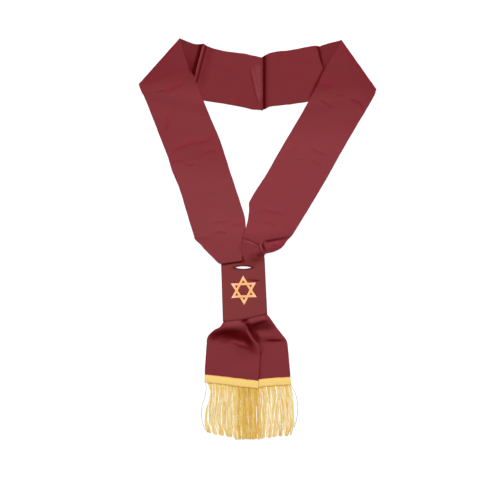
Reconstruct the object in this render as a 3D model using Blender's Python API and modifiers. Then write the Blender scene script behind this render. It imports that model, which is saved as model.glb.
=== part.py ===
"""Neck sash laid flat: a ribbon loop, a keeper with a star, and two fringed tails.

Lengths are in metres. The sash lies face up on a surface at z = 0. +Y points to the
neck and +X to the right of someone who looks down at it. The origin is on the surface,
under the middle of the whole sash. Heights are counted in levels: level 0 is cloth on
the surface, and each level up is one cloth and one gap higher.
"""

import math
from collections import namedtuple

import bmesh
import bpy
from mathutils import Vector

# Driving dimensions
CLOTH = 0.0011
GAP = 0.0003
FOLD_LEVELS = 2
BRAID = 0.0140
FRINGE_LENGTH = 0.1005
STRANDS = 50
STAR_RADIUS = 0.0274
STAR_BAR = 0.0044
STAR_RAISE = 0.0008
SLIT_LENGTH = 0.0295
SLIT_WIDTH = 0.0056

# Sizes worked out from them
LEVEL = CLOTH + GAP
REST = CLOTH / 2
FOLD_RADIUS = FOLD_LEVELS * LEVEL / 2

# Mesh fineness
RIBBON_COLUMNS = 10
NECK_COLUMNS = 8
TAIL_COLUMNS = 14
TRIM_COLUMNS = 2
FOLD_STEPS = 6
SLIT_POINTS = 24
FLAT_NORMAL = 0.99
STRAND_STEPS = 4

# The keeper: a ribbon wrapped once round the two fronts, open above and below
KEEPER_TOP_LEFT = Vector((-0.0672, -0.0425, 0))
KEEPER_TOP_RIGHT = Vector((0.0117, -0.0315, 0))
KEEPER_BOTTOM_LEFT = Vector((-0.0638, -0.1526, 0))
KEEPER_BOTTOM_RIGHT = Vector((0.0166, -0.1386, 0))
KEEPER_HEIGHT = 0.0063
KEEPER_FLAT_STEPS = 12
KEEPER_ARC_STEPS = 6
CORE_SETBACK = 0.075
SLIT_CENTRE = Vector((-0.0269, -0.0519, KEEPER_HEIGHT / 2))
STAR_CENTRE = Vector((-0.0260, -0.0943, 0))
STAR_LEAN = math.radians(2.4)

# A row crosses a ribbon: it starts at x, y on one edge, runs width far in the direction
# turn (degrees), and the mesh has that many steps to the next row.
Row = namedtuple("Row", "x y turn width steps")

NECK_LEFT = (
    Row(-0.1019, 0.3677, -104.4, 0.1031, 2),
    Row(-0.0938, 0.3628, -101.0, 0.1005, 1),
    Row(-0.0805, 0.3581, -98.0, 0.0991, 2),
    Row(-0.0573, 0.3531, -96.0, 0.0975, 3),
    Row(-0.0235, 0.3487, -93.6, 0.0996, 2),
    Row(-0.0074, 0.3447, -91.0, 0.1003, 3),
    Row(0.0100, 0.3405, -90.0, 0.0981, 0),
)
NECK_RIGHT = (
    Row(0.0020, 0.3385, -90.0, 0.0930, 1),
    Row(0.0105, 0.3434, -90.0, 0.0989, 1),
    Row(0.0145, 0.3458, -90.0, 0.1003, 1),
    Row(0.0232, 0.3497, -91.2, 0.1008, 1),
    Row(0.0363, 0.3527, -91.3, 0.1015, 2),
    Row(0.0608, 0.3553, -90.0, 0.1012, 3),
    Row(0.0937, 0.3615, -88.1, 0.1020, 1),
    Row(0.1070, 0.3634, -84.0, 0.1008, 2),
    Row(0.1169, 0.3621, -80.2, 0.0975, 0),
)

# The fronts: first the layer under the mitre, from the shoulder seam to the fold, and
# then the layer that shows, from the fold to the keeper
UNDER_LEFT = (
    Row(-0.0985, 0.3645, -105.0, 0.0985, 1),
    Row(-0.1030, 0.3672, -106.2, 0.1010, 1),
    Row(-0.1088, 0.3665, -110.2, 0.1010, 1),
    Row(-0.1190, 0.3672, -115.8, 0.1055, 1),
    Row(-0.1306, 0.3716, -122.8, 0.1110, 1),
    Row(-0.1446, 0.3768, -131.7, 0.1157, 0),
)
FRONT_LEFT = (
    Row(-0.1446, 0.3768, -131.7, 0.1157, 2),
    Row(-0.1378, 0.3499, -140.9, 0.1055, 2),
    Row(-0.1276, 0.3225, -152.2, 0.1003, 2),
    Row(-0.1184, 0.3041, -159.5, 0.1003, 3),
    Row(-0.1016, 0.2608, -159.2, 0.0998, 3),
    Row(-0.0872, 0.2260, -160.1, 0.1008, 3),
    Row(-0.0715, 0.1892, -160.7, 0.1021, 3),
    Row(-0.0595, 0.1530, -166.3, 0.1030, 2),
    Row(-0.0530, 0.1322, -159.8, 0.0998, 4),
    Row(-0.0348, 0.0769, -160.1, 0.1010, 4),
    Row(-0.0243, 0.0424, -160.1, 0.1008, 2),
    Row(-0.0225, 0.0230, -166.7, 0.0965, 1),
    Row(-0.0270, 0.0120, -165.0, 0.0820, 1),
    Row(-0.0300, -0.0050, -165.0, 0.0665, 2),
    Row(-0.0302, -0.0220, -165.5, 0.0525, 2),
    Row(-0.0298, -0.0340, -168.4, 0.0446, 1),
    Row(-0.0298, -0.0382, -171.5, 0.0410, 0),
)
UNDER_RIGHT = (
    Row(0.1135, 0.3575, -79.5, 0.0900, 1),
    Row(0.1182, 0.3630, -80.0, 0.0980, 2),
    Row(0.1372, 0.3690, -67.0, 0.1040, 2),
    Row(0.1558, 0.3738, -54.7, 0.1139, 0),
)
FRONT_RIGHT = (
    Row(0.1558, 0.3738, -54.7, 0.1139, 2),
    Row(0.1447, 0.3504, -46.0, 0.1075, 2),
    Row(0.1288, 0.3246, -35.2, 0.1052, 2),
    Row(0.1168, 0.3009, -31.3, 0.1036, 3),
    Row(0.0948, 0.2578, -29.6, 0.1003, 4),
    Row(0.0703, 0.2154, -29.6, 0.1003, 4),
    Row(0.0392, 0.1625, -29.1, 0.1016, 4),
    Row(0.0166, 0.1226, -29.6, 0.1008, 4),
    Row(-0.0150, 0.0714, -29.4, 0.1010, 2),
    Row(-0.0158, 0.0550, -27.0, 0.0932, 2),
    Row(-0.0182, 0.0360, -19.5, 0.0867, 2),
    Row(-0.0222, 0.0215, -12.0, 0.0845, 2),
    Row(-0.0300, 0.0060, -5.3, 0.0850, 2),
    Row(-0.0330, -0.0080, -4.5, 0.0785, 1),
    Row(-0.0335, -0.0160, -5.0, 0.0655, 1),
    Row(-0.0335, -0.0240, -2.0, 0.0490, 1),
    Row(-0.0335, -0.0330, 5.0, 0.0425, 1),
    Row(-0.0335, -0.0425, 8.0, 0.0420, 0),
)

# The tails, from just inside the keeper's lower mouth to their ends under the braid
TAIL_LEFT = (
    Row(-0.0605, -0.1475, 9.3, 0.0340, 1),
    Row(-0.0618, -0.1530, 8.5, 0.0365, 1),
    Row(-0.0645, -0.1575, 5.0, 0.0402, 1),
    Row(-0.0690, -0.1629, 3.7, 0.0455, 1),
    Row(-0.0790, -0.1688, 0.8, 0.0595, 2),
    Row(-0.0890, -0.1774, -2.0, 0.0760, 2),
    Row(-0.0929, -0.1853, -2.4, 0.0870, 1),
    Row(-0.0940, -0.1960, -0.6, 0.0950, 1),
    Row(-0.0950, -0.2063, -0.4, 0.0992, 3),
    Row(-0.0974, -0.2380, -1.1, 0.1007, 3),
    Row(-0.0984, -0.2590, -6.5, 0.1002, 0),
)
TAIL_RIGHT = (
    Row(-0.0300, -0.1418, 9.5, 0.0432, 1),
    Row(-0.0300, -0.1471, 9.5, 0.0446, 1),
    Row(-0.0290, -0.1517, 6.9, 0.0515, 2),
    Row(-0.0275, -0.1620, 1.8, 0.0602, 2),
    Row(-0.0290, -0.1780, 0.5, 0.0748, 2),
    Row(-0.0305, -0.1890, 0.8, 0.0842, 1),
    Row(-0.0320, -0.1995, 0.7, 0.0883, 3),
    Row(-0.0340, -0.2290, 1.0, 0.0930, 3),
    Row(-0.0382, -0.2713, 4.5, 0.1004, 0),
)
TRIM_LEFT = (
    Row(-0.0984, -0.2524, -92.5, BRAID, 4),
    Row(-0.0600, -0.2566, -91.0, BRAID, 4),
    Row(-0.0420, -0.2588, -90.0, BRAID, 5),
    Row(0.0012, -0.2638, -91.0, BRAID, 0),
)
TRIM_RIGHT = (
    Row(-0.0382, -0.2647, -90.0, BRAID, 5),
    Row(0.0012, -0.2616, -88.0, BRAID, 3),
    Row(0.0275, -0.2589, -88.0, BRAID, 4),
    Row(0.0616, -0.2569, -87.5, BRAID, 0),
)

# Hems and lines that the layers follow, each from one point to another
Line = namedtuple("Line", "x0 y0 x1 y1")
HEM_LEFT = Line(-0.2219, 0.2910, -0.1010, 0.2600)
HEM_RIGHT = Line(0.0937, 0.2575, 0.2221, 0.2800)
SEAM_LEFT = Line(-0.1276, 0.2679, -0.1019, 0.3677)
SEAM_RIGHT = Line(0.1335, 0.2660, 0.1169, 0.3621)
MOUTH = Line(-0.0638, -0.1526, 0.0166, -0.1386)
RIDGE = Line(-0.0240, -0.1580, 0.0044, -0.2040)
PLEAT = ((-0.0360, 0.0055), (-0.0248, 0.0013), (0.0027, -0.0096), (0.0112, -0.0047), (0.0600, 0.0043))

# Places where the layers rise and fall. A Span is where a change starts and where it
# ends. Those named SHARE count across a ribbon, from 0 to 1.
Span = namedtuple("Span", "start end")
WHOLE = Span(0, 1)
PAST_HEM = Span(0.0020, 0.0300)
PAST_SEAM = Span(0.0050, 0.0240)
AT_CENTRE = Span(-0.0180, 0.0000)
SEAM_RIDGE = 0.0008
SEAM_RIDGE_FOOT = Span(0.3080, 0.3180)

# The left front climbs over the keeper's top edge, where its end is turned in
TIP_RISE = Span(0.0620, -0.0380)
TIP_LEVEL = 5.75
TIP_RETURN = 0.0080
TIP_EDGE_DROP = 0.70
TIP_EDGE_SHARE = Span(0.45, 1.00)
TIP_EDGE_END = Span(0.0000, -0.0400)

# The right front rises to its pleat, and drops below it into the keeper's mouth. To the
# right of the pocket a fold stands up as a wing.
PLEAT_RISE = Span(0.0450, 0.0000)
PLEAT_LEVEL = 2.20
PLEAT_FADE = Span(0.0100, 0.0600)
PLEAT_FADE_SHARE = 0.75
PLEAT_STEP = Span(0.0010, -0.0040)
VALLEY_LEVELS = 0.90
VALLEY_WIDTH = 0.0030
PANEL_LEVEL = 2.90
PANEL_DROP = 1.00
PANEL_SLOPE = Span(-0.0040, -0.0280)
POCKET_LEVEL = 0.35
POCKET_EDGE = Span(0.0090, 0.0160)
WING_LEVELS = 1.50
WING_BELOW = 0.0120
WING_WIDTH = 0.0075

# The tails leave the keeper's lower mouth high, and come down to the surface
UNDER_TAIL = Span(-0.0600, -0.0420)
UNDER_TRIM = Span(-0.2280, -0.2460)
LIP = Span(-0.0050, 0.0060)
LIP_LEVELS = (2.02, 3.10)
LIP_EDGE_DROP = 0.50
LIP_EDGE_SHARE = Span(0.00, 0.20)
SLOPE = Span(0.0120, 0.0400)
RIDGE_SIDE = Span(0.0030, 0.0160)
HOLLOW_SHARE = 0.45
HOLLOW_START = Span(0.0000, 0.0060)

# The left edge of the right tail is tucked under the left tail in the mouth
TUCK_LEVELS = 1.00
TUCK_SHARE = Span(0.14, 0.24)
TUCK_END = Span(0.0020, 0.0060)

# The fringes: a strip under each braid, and its strands, which lean together in locks.
# An outermost strand bows out, and the strands beside it are drawn in at their ends.
Fringe = namedtuple("Fringe", "name left top_left right top_right bow_left bow_right raised")
FRINGES = (
    Fringe("fringe_left", -0.0984, -0.2593, 0.0010, -0.2707, 0.0085, 0.0010, True),
    Fringe("fringe_right", -0.0382, -0.2716, 0.0616, -0.2638, 0.0, 0.0150, False),
)
STRIP_WIDTH = 0.0068
STRAND_WIDTH = 0.0008
STRAND_DEPTH = 0.0008
STRAND_OVER = 0.0014
FRINGE_DROP = Span(0.0100, 0.0450)
LOCK_WIDTH = 0.0105
LOCK_PULL = 0.32
END_PULL = 0.0038
END_PULL_STRANDS = 9
BOW_STRANDS = 1.2
SIDES_SHORTER = 0.0040
Wave = namedtuple("Wave", "share spacing")
END_WAVES = (Wave(0.025, 0.0067), Wave(0.015, 0.0021))

# Colour, roughness of each finish
Finish = namedtuple("Finish", "colour roughness")
MAROON = Finish((0.16, 0.022, 0.028, 1), 0.62)
STAR_GOLD = Finish((0.90, 0.45, 0.16, 1), 0.45)
BRAID_GOLD = Finish((0.88, 0.60, 0.20, 1), 0.50)
FRINGE_GOLD = Finish((0.86, 0.58, 0.22, 1), 0.45)


def ease(value, span):
    """0 before a span and 1 past it, with a smooth change inside it."""
    share = min(1.0, max(0.0, (value - span.start) / (span.end - span.start)))
    return share * share * (3 - 2 * share)


def height(level):
    """Middle of a cloth's thickness, at a level."""
    return REST + level * LEVEL


def right_of(line, x, y):
    """Distance to the right of a line, seen along it from its first point."""
    run_x, run_y = line.x1 - line.x0, line.y1 - line.y0
    return ((x - line.x0) * run_y - (y - line.y0) * run_x) / math.hypot(run_x, run_y)


def along_points(points, x):
    """The y of a line through points, at x."""
    for (x0, y0), (x1, y1) in zip(points, points[1:]):
        if x <= x1:
            break
    return y0 + (y1 - y0) * (x - x0) / (x1 - x0)


def row_ends(row):
    angle = math.radians(row.turn)
    far = (row.x + row.width * math.cos(angle), row.y + row.width * math.sin(angle))
    return Vector((row.x, row.y, *far))


def flow(rows):
    """Lines across a ribbon, on a smooth curve through its rows at both edges."""
    ends = [row_ends(row) for row in rows]
    lengths = [(after - before).length for before, after in zip(ends, ends[1:])]
    slopes = [(ends[1] - ends[0]) / lengths[0]]
    for i in range(1, len(ends) - 1):
        slopes.append((ends[i + 1] - ends[i - 1]) / (lengths[i - 1] + lengths[i]))
    slopes.append((ends[-1] - ends[-2]) / lengths[-1])
    lines = []
    for i, length in enumerate(lengths):
        for step in range(rows[i].steps):
            t = step / rows[i].steps
            keep = ease(t, WHOLE)
            bend_in = t * (1 - t) ** 2 * length
            bend_out = -t * t * (1 - t) * length
            lines.append(ends[i] * (1 - keep) + ends[i + 1] * keep
                         + slopes[i] * bend_in + slopes[i + 1] * bend_out)
    return lines + [ends[-1]]


def laid(rows, level, columns):
    """Points of a ribbon laid on its rows, at the level given for x, y and share across."""
    lines = []
    for near_x, near_y, far_x, far_y in flow(rows):
        points = []
        for i in range(columns + 1):
            share = i / columns
            x = near_x + (far_x - near_x) * share
            y = near_y + (far_y - near_y) * share
            points.append(Vector((x, y, height(level(x, y, share)))))
        lines.append(points)
    return lines


def half_turn(line, radius, side):
    """Cloth rolled round a fold at a line of points, to its right (1) or its left (-1).

    It rises by two radii, or falls where the radius is negative.
    """
    run = (line[-1] - line[0]).normalized()
    outward = Vector((run.y, -run.x, 0)) * abs(radius) * side
    lines = []
    for step in range(1, FOLD_STEPS):
        angle = math.pi * step / FOLD_STEPS
        rise = Vector((0, 0, radius * (1 - math.cos(angle))))
        lines.append([point + outward * math.sin(angle) + rise for point in line])
    return lines


def flat_level(x, y, share):
    return 0


def under_trim(x):
    """1 where the left tail lies on the right one."""
    return ease(x, UNDER_TAIL)


def neck_left_level(x, y, share):
    seam = right_of(SEAM_LEFT, x, y)
    return 1 - ease(seam, PAST_SEAM) + ease(x, AT_CENTRE)


def neck_right_level(x, y, share):
    return 1 - ease(-right_of(SEAM_RIGHT, x, y), PAST_SEAM)


def front_left_level(x, y, share):
    over_neck = 1 - ease(right_of(HEM_LEFT, x, y), PAST_HEM)
    edge_drop = TIP_EDGE_DROP * ease(share, TIP_EDGE_SHARE) * (1 - ease(y, TIP_EDGE_END))
    return FOLD_LEVELS * over_neck + TIP_LEVEL * ease(y, TIP_RISE) * (1 - edge_drop)


def front_right_level(x, y, share):
    """Past the neck band, the front is pleated into the keeper's upper mouth."""
    over_neck = 1 - ease(right_of(HEM_RIGHT, x, y), PAST_HEM)
    above = y - along_points(PLEAT, x)
    rise = PLEAT_LEVEL * ease(above, PLEAT_RISE) * (1 - PLEAT_FADE_SHARE * ease(x, PLEAT_FADE))
    pocket = ease(x, POCKET_EDGE)
    panel = PANEL_LEVEL - PANEL_DROP * ease(above, PANEL_SLOPE)
    wing = POCKET_LEVEL + WING_LEVELS * math.exp(-((above + WING_BELOW) / WING_WIDTH) ** 2)
    below = panel * (1 - pocket) + wing * pocket
    step = ease(above, PLEAT_STEP)
    valley = VALLEY_LEVELS * math.exp(-(above / VALLEY_WIDTH) ** 2)
    pleats = max(0, rise * (1 - step) + below * step - valley)
    return FOLD_LEVELS * over_neck + pleats


def lip_level(below, share_in):
    """The level below the keeper's lower mouth, lower toward a tail's outer edge."""
    low, high = LIP_LEVELS
    edge = 1 - LIP_EDGE_DROP * (1 - ease(share_in, LIP_EDGE_SHARE))
    return (low + (high - low) * ease(below, LIP)) * edge


def tail_left_level(x, y, share):
    below = right_of(MOUTH, x, y)
    laid_level = under_trim(x) * (1 + ease(y, UNDER_TRIM))
    down = ease(below, SLOPE)
    return laid_level * down + lip_level(below, share) * (1 - down)


def tail_right_level(x, y, share):
    below = right_of(MOUTH, x, y)
    beside_ridge = ease(-right_of(RIDGE, x, y), RIDGE_SIDE)
    hollow = HOLLOW_SHARE + (1 - HOLLOW_SHARE) * beside_ridge
    outside = ease(below, HOLLOW_START)
    keep = hollow * outside + 1 - outside
    tuck = TUCK_LEVELS * (1 - ease(share, TUCK_SHARE)) * (1 - ease(below, TUCK_END))
    return max(0, lip_level(below, 1 - share) * keep * (1 - ease(below, SLOPE)) - tuck)


def trim_left_level(x, y, share):
    return under_trim(x) * 2 + 1


def trim_right_level(x, y, share):
    return 1


def add_object(name, data, collection, finish):
    part = bpy.data.objects.new(name, data)
    collection.objects.link(part)
    material = bpy.data.materials.new(name)
    material.use_nodes = True
    shader = material.node_tree.nodes["Principled BSDF"]
    shader.inputs["Base Color"].default_value = finish.colour
    shader.inputs["Roughness"].default_value = finish.roughness
    part.data.materials.append(material)
    return part


def finish_mesh(bm, name):
    mesh = bpy.data.meshes.new(name)
    bmesh.ops.recalc_face_normals(bm, faces=bm.faces)
    bm.to_mesh(mesh)
    bm.free()
    mesh.shade_smooth()
    return mesh


def keep_flats(mesh):
    """Plain shading on the faces that lie flat, so that the slit doesn't darken them."""
    for face in mesh.polygons:
        face.use_smooth = abs(face.normal.z) < FLAT_NORMAL


def add_wall(part):
    wall = part.modifiers.new("Wall", "SOLIDIFY")
    wall.thickness = CLOTH
    wall.offset = 0


def add_sheet(name, lines, collection, finish):
    """A ribbon: a grid whose points are moved to the lines, with a wall's thickness."""
    along = len(lines) - 1
    across = len(lines[0]) - 1
    bm = bmesh.new()
    bmesh.ops.create_grid(bm, x_segments=across, y_segments=along, size=0.5)
    for vert in bm.verts:
        column = round((vert.co.x + 0.5) * across)
        row = round((vert.co.y + 0.5) * along)
        vert.co = lines[row][column]
    part = add_object(name, finish_mesh(bm, name), collection, finish)
    add_wall(part)
    return part


def make_neck(collection):
    left = laid(NECK_LEFT, neck_left_level, NECK_COLUMNS)
    for line, rise in zip(left, (SEAM_RIDGE, SEAM_RIDGE, 0)):
        for point in line:
            point.z += rise * ease(point.y, SEAM_RIDGE_FOOT)
    add_sheet("neck_left", left, collection, MAROON)
    right = laid(NECK_RIGHT, neck_right_level, NECK_COLUMNS)
    add_sheet("neck_right", right, collection, MAROON)


def make_front_left(collection):
    """The layer under the mitre, the roll, the layer that shows, and its turned-in tip."""
    under = laid(UNDER_LEFT, flat_level, RIBBON_COLUMNS)
    front = laid(FRONT_LEFT, front_left_level, RIBBON_COLUMNS)
    mitre = half_turn(under[-1], FOLD_RADIUS, 1)
    tip = half_turn(front[-1], -LEVEL / 2, -1)
    below = [point - Vector((0, 0, LEVEL)) for point in front[-1]]
    back = [point + Vector((0, TIP_RETURN, 0)) for point in below]
    add_sheet("front_left", under + mitre + front + tip + [below, back], collection, MAROON)


def make_front_right(collection):
    under = laid(UNDER_RIGHT, flat_level, RIBBON_COLUMNS)
    mitre = half_turn(under[-1], FOLD_RADIUS, -1)
    front = laid(FRONT_RIGHT, front_right_level, RIBBON_COLUMNS)
    add_sheet("front_right", under + mitre + front, collection, MAROON)


def keeper_ring(down, low, high, inset):
    """Points round the keeper at a share of its way down, between two heights."""
    left = KEEPER_TOP_LEFT.lerp(KEEPER_BOTTOM_LEFT, down)
    right = KEEPER_TOP_RIGHT.lerp(KEEPER_BOTTOM_RIGHT, down)
    radius = (high - low) / 2
    along = (right - left).normalized()
    start = left + along * (inset + radius)
    end = right - along * (inset + radius)
    points = [start.lerp(end, i / KEEPER_FLAT_STEPS) + Vector((0, 0, low))
              for i in range(KEEPER_FLAT_STEPS)]
    points += turn_round(end, along, radius, low)
    points += [end.lerp(start, i / KEEPER_FLAT_STEPS) + Vector((0, 0, high))
               for i in range(KEEPER_FLAT_STEPS)]
    points += turn_round(start, -along, -radius, high)
    return points


def turn_round(centre, out, radius, start_height):
    points = []
    for i in range(KEEPER_ARC_STEPS):
        angle = math.pi * i / KEEPER_ARC_STEPS
        rise = Vector((0, 0, start_height + radius * (1 - math.cos(angle))))
        points.append(centre + out * abs(radius) * math.sin(angle) + rise)
    return points


def ring_solid(upper, lower, capped):
    """A tube or a closed prism between two rings of as many points."""
    count = len(upper)
    bm = bmesh.new()
    bmesh.ops.create_cone(bm, cap_ends=capped, segments=count, radius1=1, radius2=1, depth=1)
    for vert in bm.verts:
        index = round(math.atan2(vert.co.y, vert.co.x) / math.tau * count) % count
        vert.co = lower[index] if vert.co.z > 0 else upper[index]
    return bm


def make_slit_cutter(cutters):
    """A lens, pointed at both ends, right through the keeper."""
    rings = []
    for z in (-KEEPER_HEIGHT, KEEPER_HEIGHT):
        ring = []
        for i in range(SLIT_POINTS):
            angle = math.tau * i / SLIT_POINTS
            across = SLIT_WIDTH / 2 * math.sin(angle) * abs(math.sin(angle))
            ring.append(SLIT_CENTRE + Vector((SLIT_LENGTH / 2 * math.cos(angle), across, z)))
        rings.append(ring)
    mesh = finish_mesh(ring_solid(rings[0], rings[1], True), "slit_cutter")
    cutter = bpy.data.objects.new("slit_cutter", mesh)
    cutters.objects.link(cutter)
    cutter.hide_render = True
    cutter.display_type = "WIRE"
    return cutter


def cut(part, cutter):
    hole = part.modifiers.new("Slit", "BOOLEAN")
    hole.operation = "DIFFERENCE"
    hole.object = cutter


def make_keeper(collection, cutters):
    """The wrapped ribbon, and the gathered ribbon inside it as one rounded solid."""
    cutter = make_slit_cutter(cutters)
    upper = keeper_ring(0, REST, KEEPER_HEIGHT - REST, CLOTH / 2)
    lower = keeper_ring(1, REST, KEEPER_HEIGHT - REST, CLOTH / 2)
    mesh = finish_mesh(ring_solid(upper, lower, False), "keeper")
    keep_flats(mesh)
    keeper = add_object("keeper", mesh, collection, MAROON)
    add_wall(keeper)
    cut(keeper, cutter)
    inside = (CLOTH + GAP, KEEPER_HEIGHT - CLOTH - GAP, CLOTH + GAP)
    upper = keeper_ring(CORE_SETBACK, *inside)
    lower = keeper_ring(1 - CORE_SETBACK, *inside)
    mesh = finish_mesh(ring_solid(upper, lower, True), "keeper_core")
    keep_flats(mesh)
    core = add_object("keeper_core", mesh, collection, MAROON)
    cut(core, cutter)


def add_outline(curve, points):
    spline = curve.splines.new("POLY")
    spline.points.add(len(points) - 1)
    for target, (radius, angle) in zip(spline.points, points):
        x = radius * math.cos(angle + STAR_LEAN)
        y = radius * math.sin(angle + STAR_LEAN)
        target.co = (x, y, 0, 1)
    spline.use_cyclic_u = True


def make_star(collection):
    """Two interlaced triangles of flat bars: an outline and seven holes."""
    curve = bpy.data.curves.new("star", "CURVE")
    curve.dimensions = "2D"
    curve.fill_mode = "BOTH"
    curve.extrude = STAR_RAISE / 2
    sixth = math.tau / 6
    half = STAR_RADIUS / 2
    notch = half / math.cos(sixth / 2)
    outline = []
    for i in range(6):
        outline += [(STAR_RADIUS, sixth * (i + 0.5)), (notch, sixth * (i + 1))]
    add_outline(curve, outline)
    middle = (half - STAR_BAR) / math.cos(sixth / 2)
    add_outline(curve, [(middle, sixth * i) for i in range(6)])
    apex = STAR_RADIUS - 2 * STAR_BAR
    half_base = (apex - half) * math.tan(sixth / 2)
    corner = math.hypot(half, half_base)
    spread = math.atan2(half_base, half)
    for i in range(6):
        tip = sixth * (i + 0.5)
        add_outline(curve, [(apex, tip), (corner, tip + spread), (corner, tip - spread)])
    star = add_object("star", curve, collection, STAR_GOLD)
    star.location = STAR_CENTRE + Vector((0, 0, KEEPER_HEIGHT + GAP + STAR_RAISE / 2))


def make_tails(collection):
    right = laid(TAIL_RIGHT, tail_right_level, TAIL_COLUMNS)
    add_sheet("tail_right", right, collection, MAROON)
    left = laid(TAIL_LEFT, tail_left_level, TAIL_COLUMNS)
    add_sheet("tail_left", left, collection, MAROON)


def make_trims(collection):
    left = laid(TRIM_LEFT, trim_left_level, TRIM_COLUMNS)
    add_sheet("trim_left", left, collection, BRAID_GOLD)
    right = laid(TRIM_RIGHT, trim_right_level, TRIM_COLUMNS)
    add_sheet("trim_right", right, collection, BRAID_GOLD)


def strand_points(fringe, share, x, y):
    """The middle line of one strand, from the strip down to its end."""
    waves = sum(wave.share * math.sin(x / wave.spacing) for wave in END_WAVES)
    length = FRINGE_LENGTH * (1 + waves) - SIDES_SHORTER * abs(2 * share - 1)
    raised = under_trim(x) * fringe.raised
    top = height(2 * raised)
    low = REST + STRAND_OVER * raised
    lock = math.sin(math.tau * x / LOCK_WIDTH) * LOCK_PULL * LOCK_WIDTH / math.tau
    from_left = share * STRANDS
    from_right = (1 - share) * STRANDS
    bow = fringe.bow_right * math.exp(-from_right / BOW_STRANDS)
    bow -= fringe.bow_left * math.exp(-from_left / BOW_STRANDS)
    drawn_in = END_PULL * math.exp(-from_left / END_PULL_STRANDS) * (fringe.bow_left > 0)
    points = []
    for step in range(STRAND_STEPS + 1):
        t = step / STRAND_STEPS
        down = length * t
        z = top + (low - top) * ease(down, FRINGE_DROP)
        side = (lock + drawn_in) * ease(t, WHOLE) + bow * math.sin(math.pi * t)
        points.append(Vector((x + side, y - down, z)))
    return points


def make_fringe(fringe, collection):
    """A narrow strip, with every second cell of its lower edge drawn out as a strand."""
    cells = 2 * STRANDS - 1
    bm = bmesh.new()
    bmesh.ops.create_grid(bm, x_segments=cells, y_segments=1, size=0.5)
    base = bm.faces[:]
    upper = bmesh.ops.extrude_face_region(bm, geom=base)["geom"]
    for vert in (item for item in upper if isinstance(item, bmesh.types.BMVert)):
        vert.co.z = 1
    bmesh.ops.recalc_face_normals(bm, faces=bm.faces)
    bm.normal_update()
    roots = [face for face in bm.faces if face.normal.y < -0.9]
    roots.sort(key=lambda face: face.calc_center_median().x)
    for vert in bm.verts:
        share = vert.co.x + 0.5
        x = fringe.left + (fringe.right - fringe.left) * share
        y = fringe.top_left + (fringe.top_right - fringe.top_left) * share
        level = 2 * under_trim(x) * fringe.raised
        y -= STRIP_WIDTH * (0.5 - vert.co.y)
        vert.co = (x, y, height(level) + (vert.co.z - 0.5) * CLOTH)
    for index in range(0, cells, 2):
        root = roots[index].calc_center_median()
        points = strand_points(fringe, (index + 0.5) / cells, root.x, root.y)
        draw_strand(bm, roots[index], root, points)
    add_object(fringe.name, finish_mesh(bm, fringe.name), collection, FRINGE_GOLD)


def draw_strand(bm, face, centre, points):
    for point in points[1:]:
        face = bmesh.ops.extrude_discrete_faces(bm, faces=[face])["faces"][0]
        for vert in face.verts:
            offset = vert.co - centre
            width = math.copysign(STRAND_WIDTH / 2, offset.x)
            depth = math.copysign(STRAND_DEPTH / 2, offset.z)
            vert.co = point + Vector((width, 0, depth))
        centre = point


def clear_scene():
    for thing in list(bpy.data.objects):
        bpy.data.objects.remove(thing, do_unlink=True)


def main():
    clear_scene()
    sash = bpy.data.collections.new("sash")
    cutters = bpy.data.collections.new("cutters")
    bpy.context.scene.collection.children.link(sash)
    bpy.context.scene.collection.children.link(cutters)
    make_neck(sash)
    make_front_left(sash)
    make_front_right(sash)
    make_keeper(sash, cutters)
    make_star(sash)
    make_tails(sash)
    make_trims(sash)
    for fringe in FRINGES:
        make_fringe(fringe, sash)


main()
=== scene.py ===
import math
import random
from collections import namedtuple

import bmesh
import bpy
import numpy as np
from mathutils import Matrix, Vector


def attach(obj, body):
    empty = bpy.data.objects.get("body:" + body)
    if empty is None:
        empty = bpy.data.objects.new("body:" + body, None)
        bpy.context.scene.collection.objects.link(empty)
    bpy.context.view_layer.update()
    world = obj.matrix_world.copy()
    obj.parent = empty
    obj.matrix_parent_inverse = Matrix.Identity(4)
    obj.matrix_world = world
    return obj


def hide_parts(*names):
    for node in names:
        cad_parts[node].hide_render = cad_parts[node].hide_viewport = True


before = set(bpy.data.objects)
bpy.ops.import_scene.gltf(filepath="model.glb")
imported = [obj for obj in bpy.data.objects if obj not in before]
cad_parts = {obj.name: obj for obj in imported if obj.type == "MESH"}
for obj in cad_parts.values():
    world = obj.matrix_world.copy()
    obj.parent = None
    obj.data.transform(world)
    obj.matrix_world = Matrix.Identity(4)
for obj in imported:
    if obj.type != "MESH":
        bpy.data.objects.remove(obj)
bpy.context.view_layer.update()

# Lengths are in metres, in the frame of the CAD part: the sash lies face up at z = 0,
# +Y to the neck, +X to the right of someone who looks down at it. Tables of creases,
# patches, rubs and threads are in millimetres, which MM turns into metres.
MM = 0.001
CLOTH = 0.0011
SHEET = 0.0008
BRAID = 0.0140
RIB = 0.0009

# Heights are counted in levels, one for each layer of cloth above the lowest one
LEVEL = 0.0014
REST = CLOTH / 2
FOLD_LEVELS = 2
FOLD_RADIUS = FOLD_LEVELS * LEVEL / 2
FOLD_STEPS = 10

# The mesh of a ribbon: its spacing along it and its columns, finer for the right front
CELL = 0.0015
RIBBON_COLUMNS = 66
FINE_CELL = 0.0011
FINE_COLUMNS = 100

# A row crosses a ribbon: it starts at x, y on one edge and runs width far in the direction
# turn, in degrees. These are the rows of the CAD part.
Row = namedtuple("Row", "x y turn width")

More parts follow.
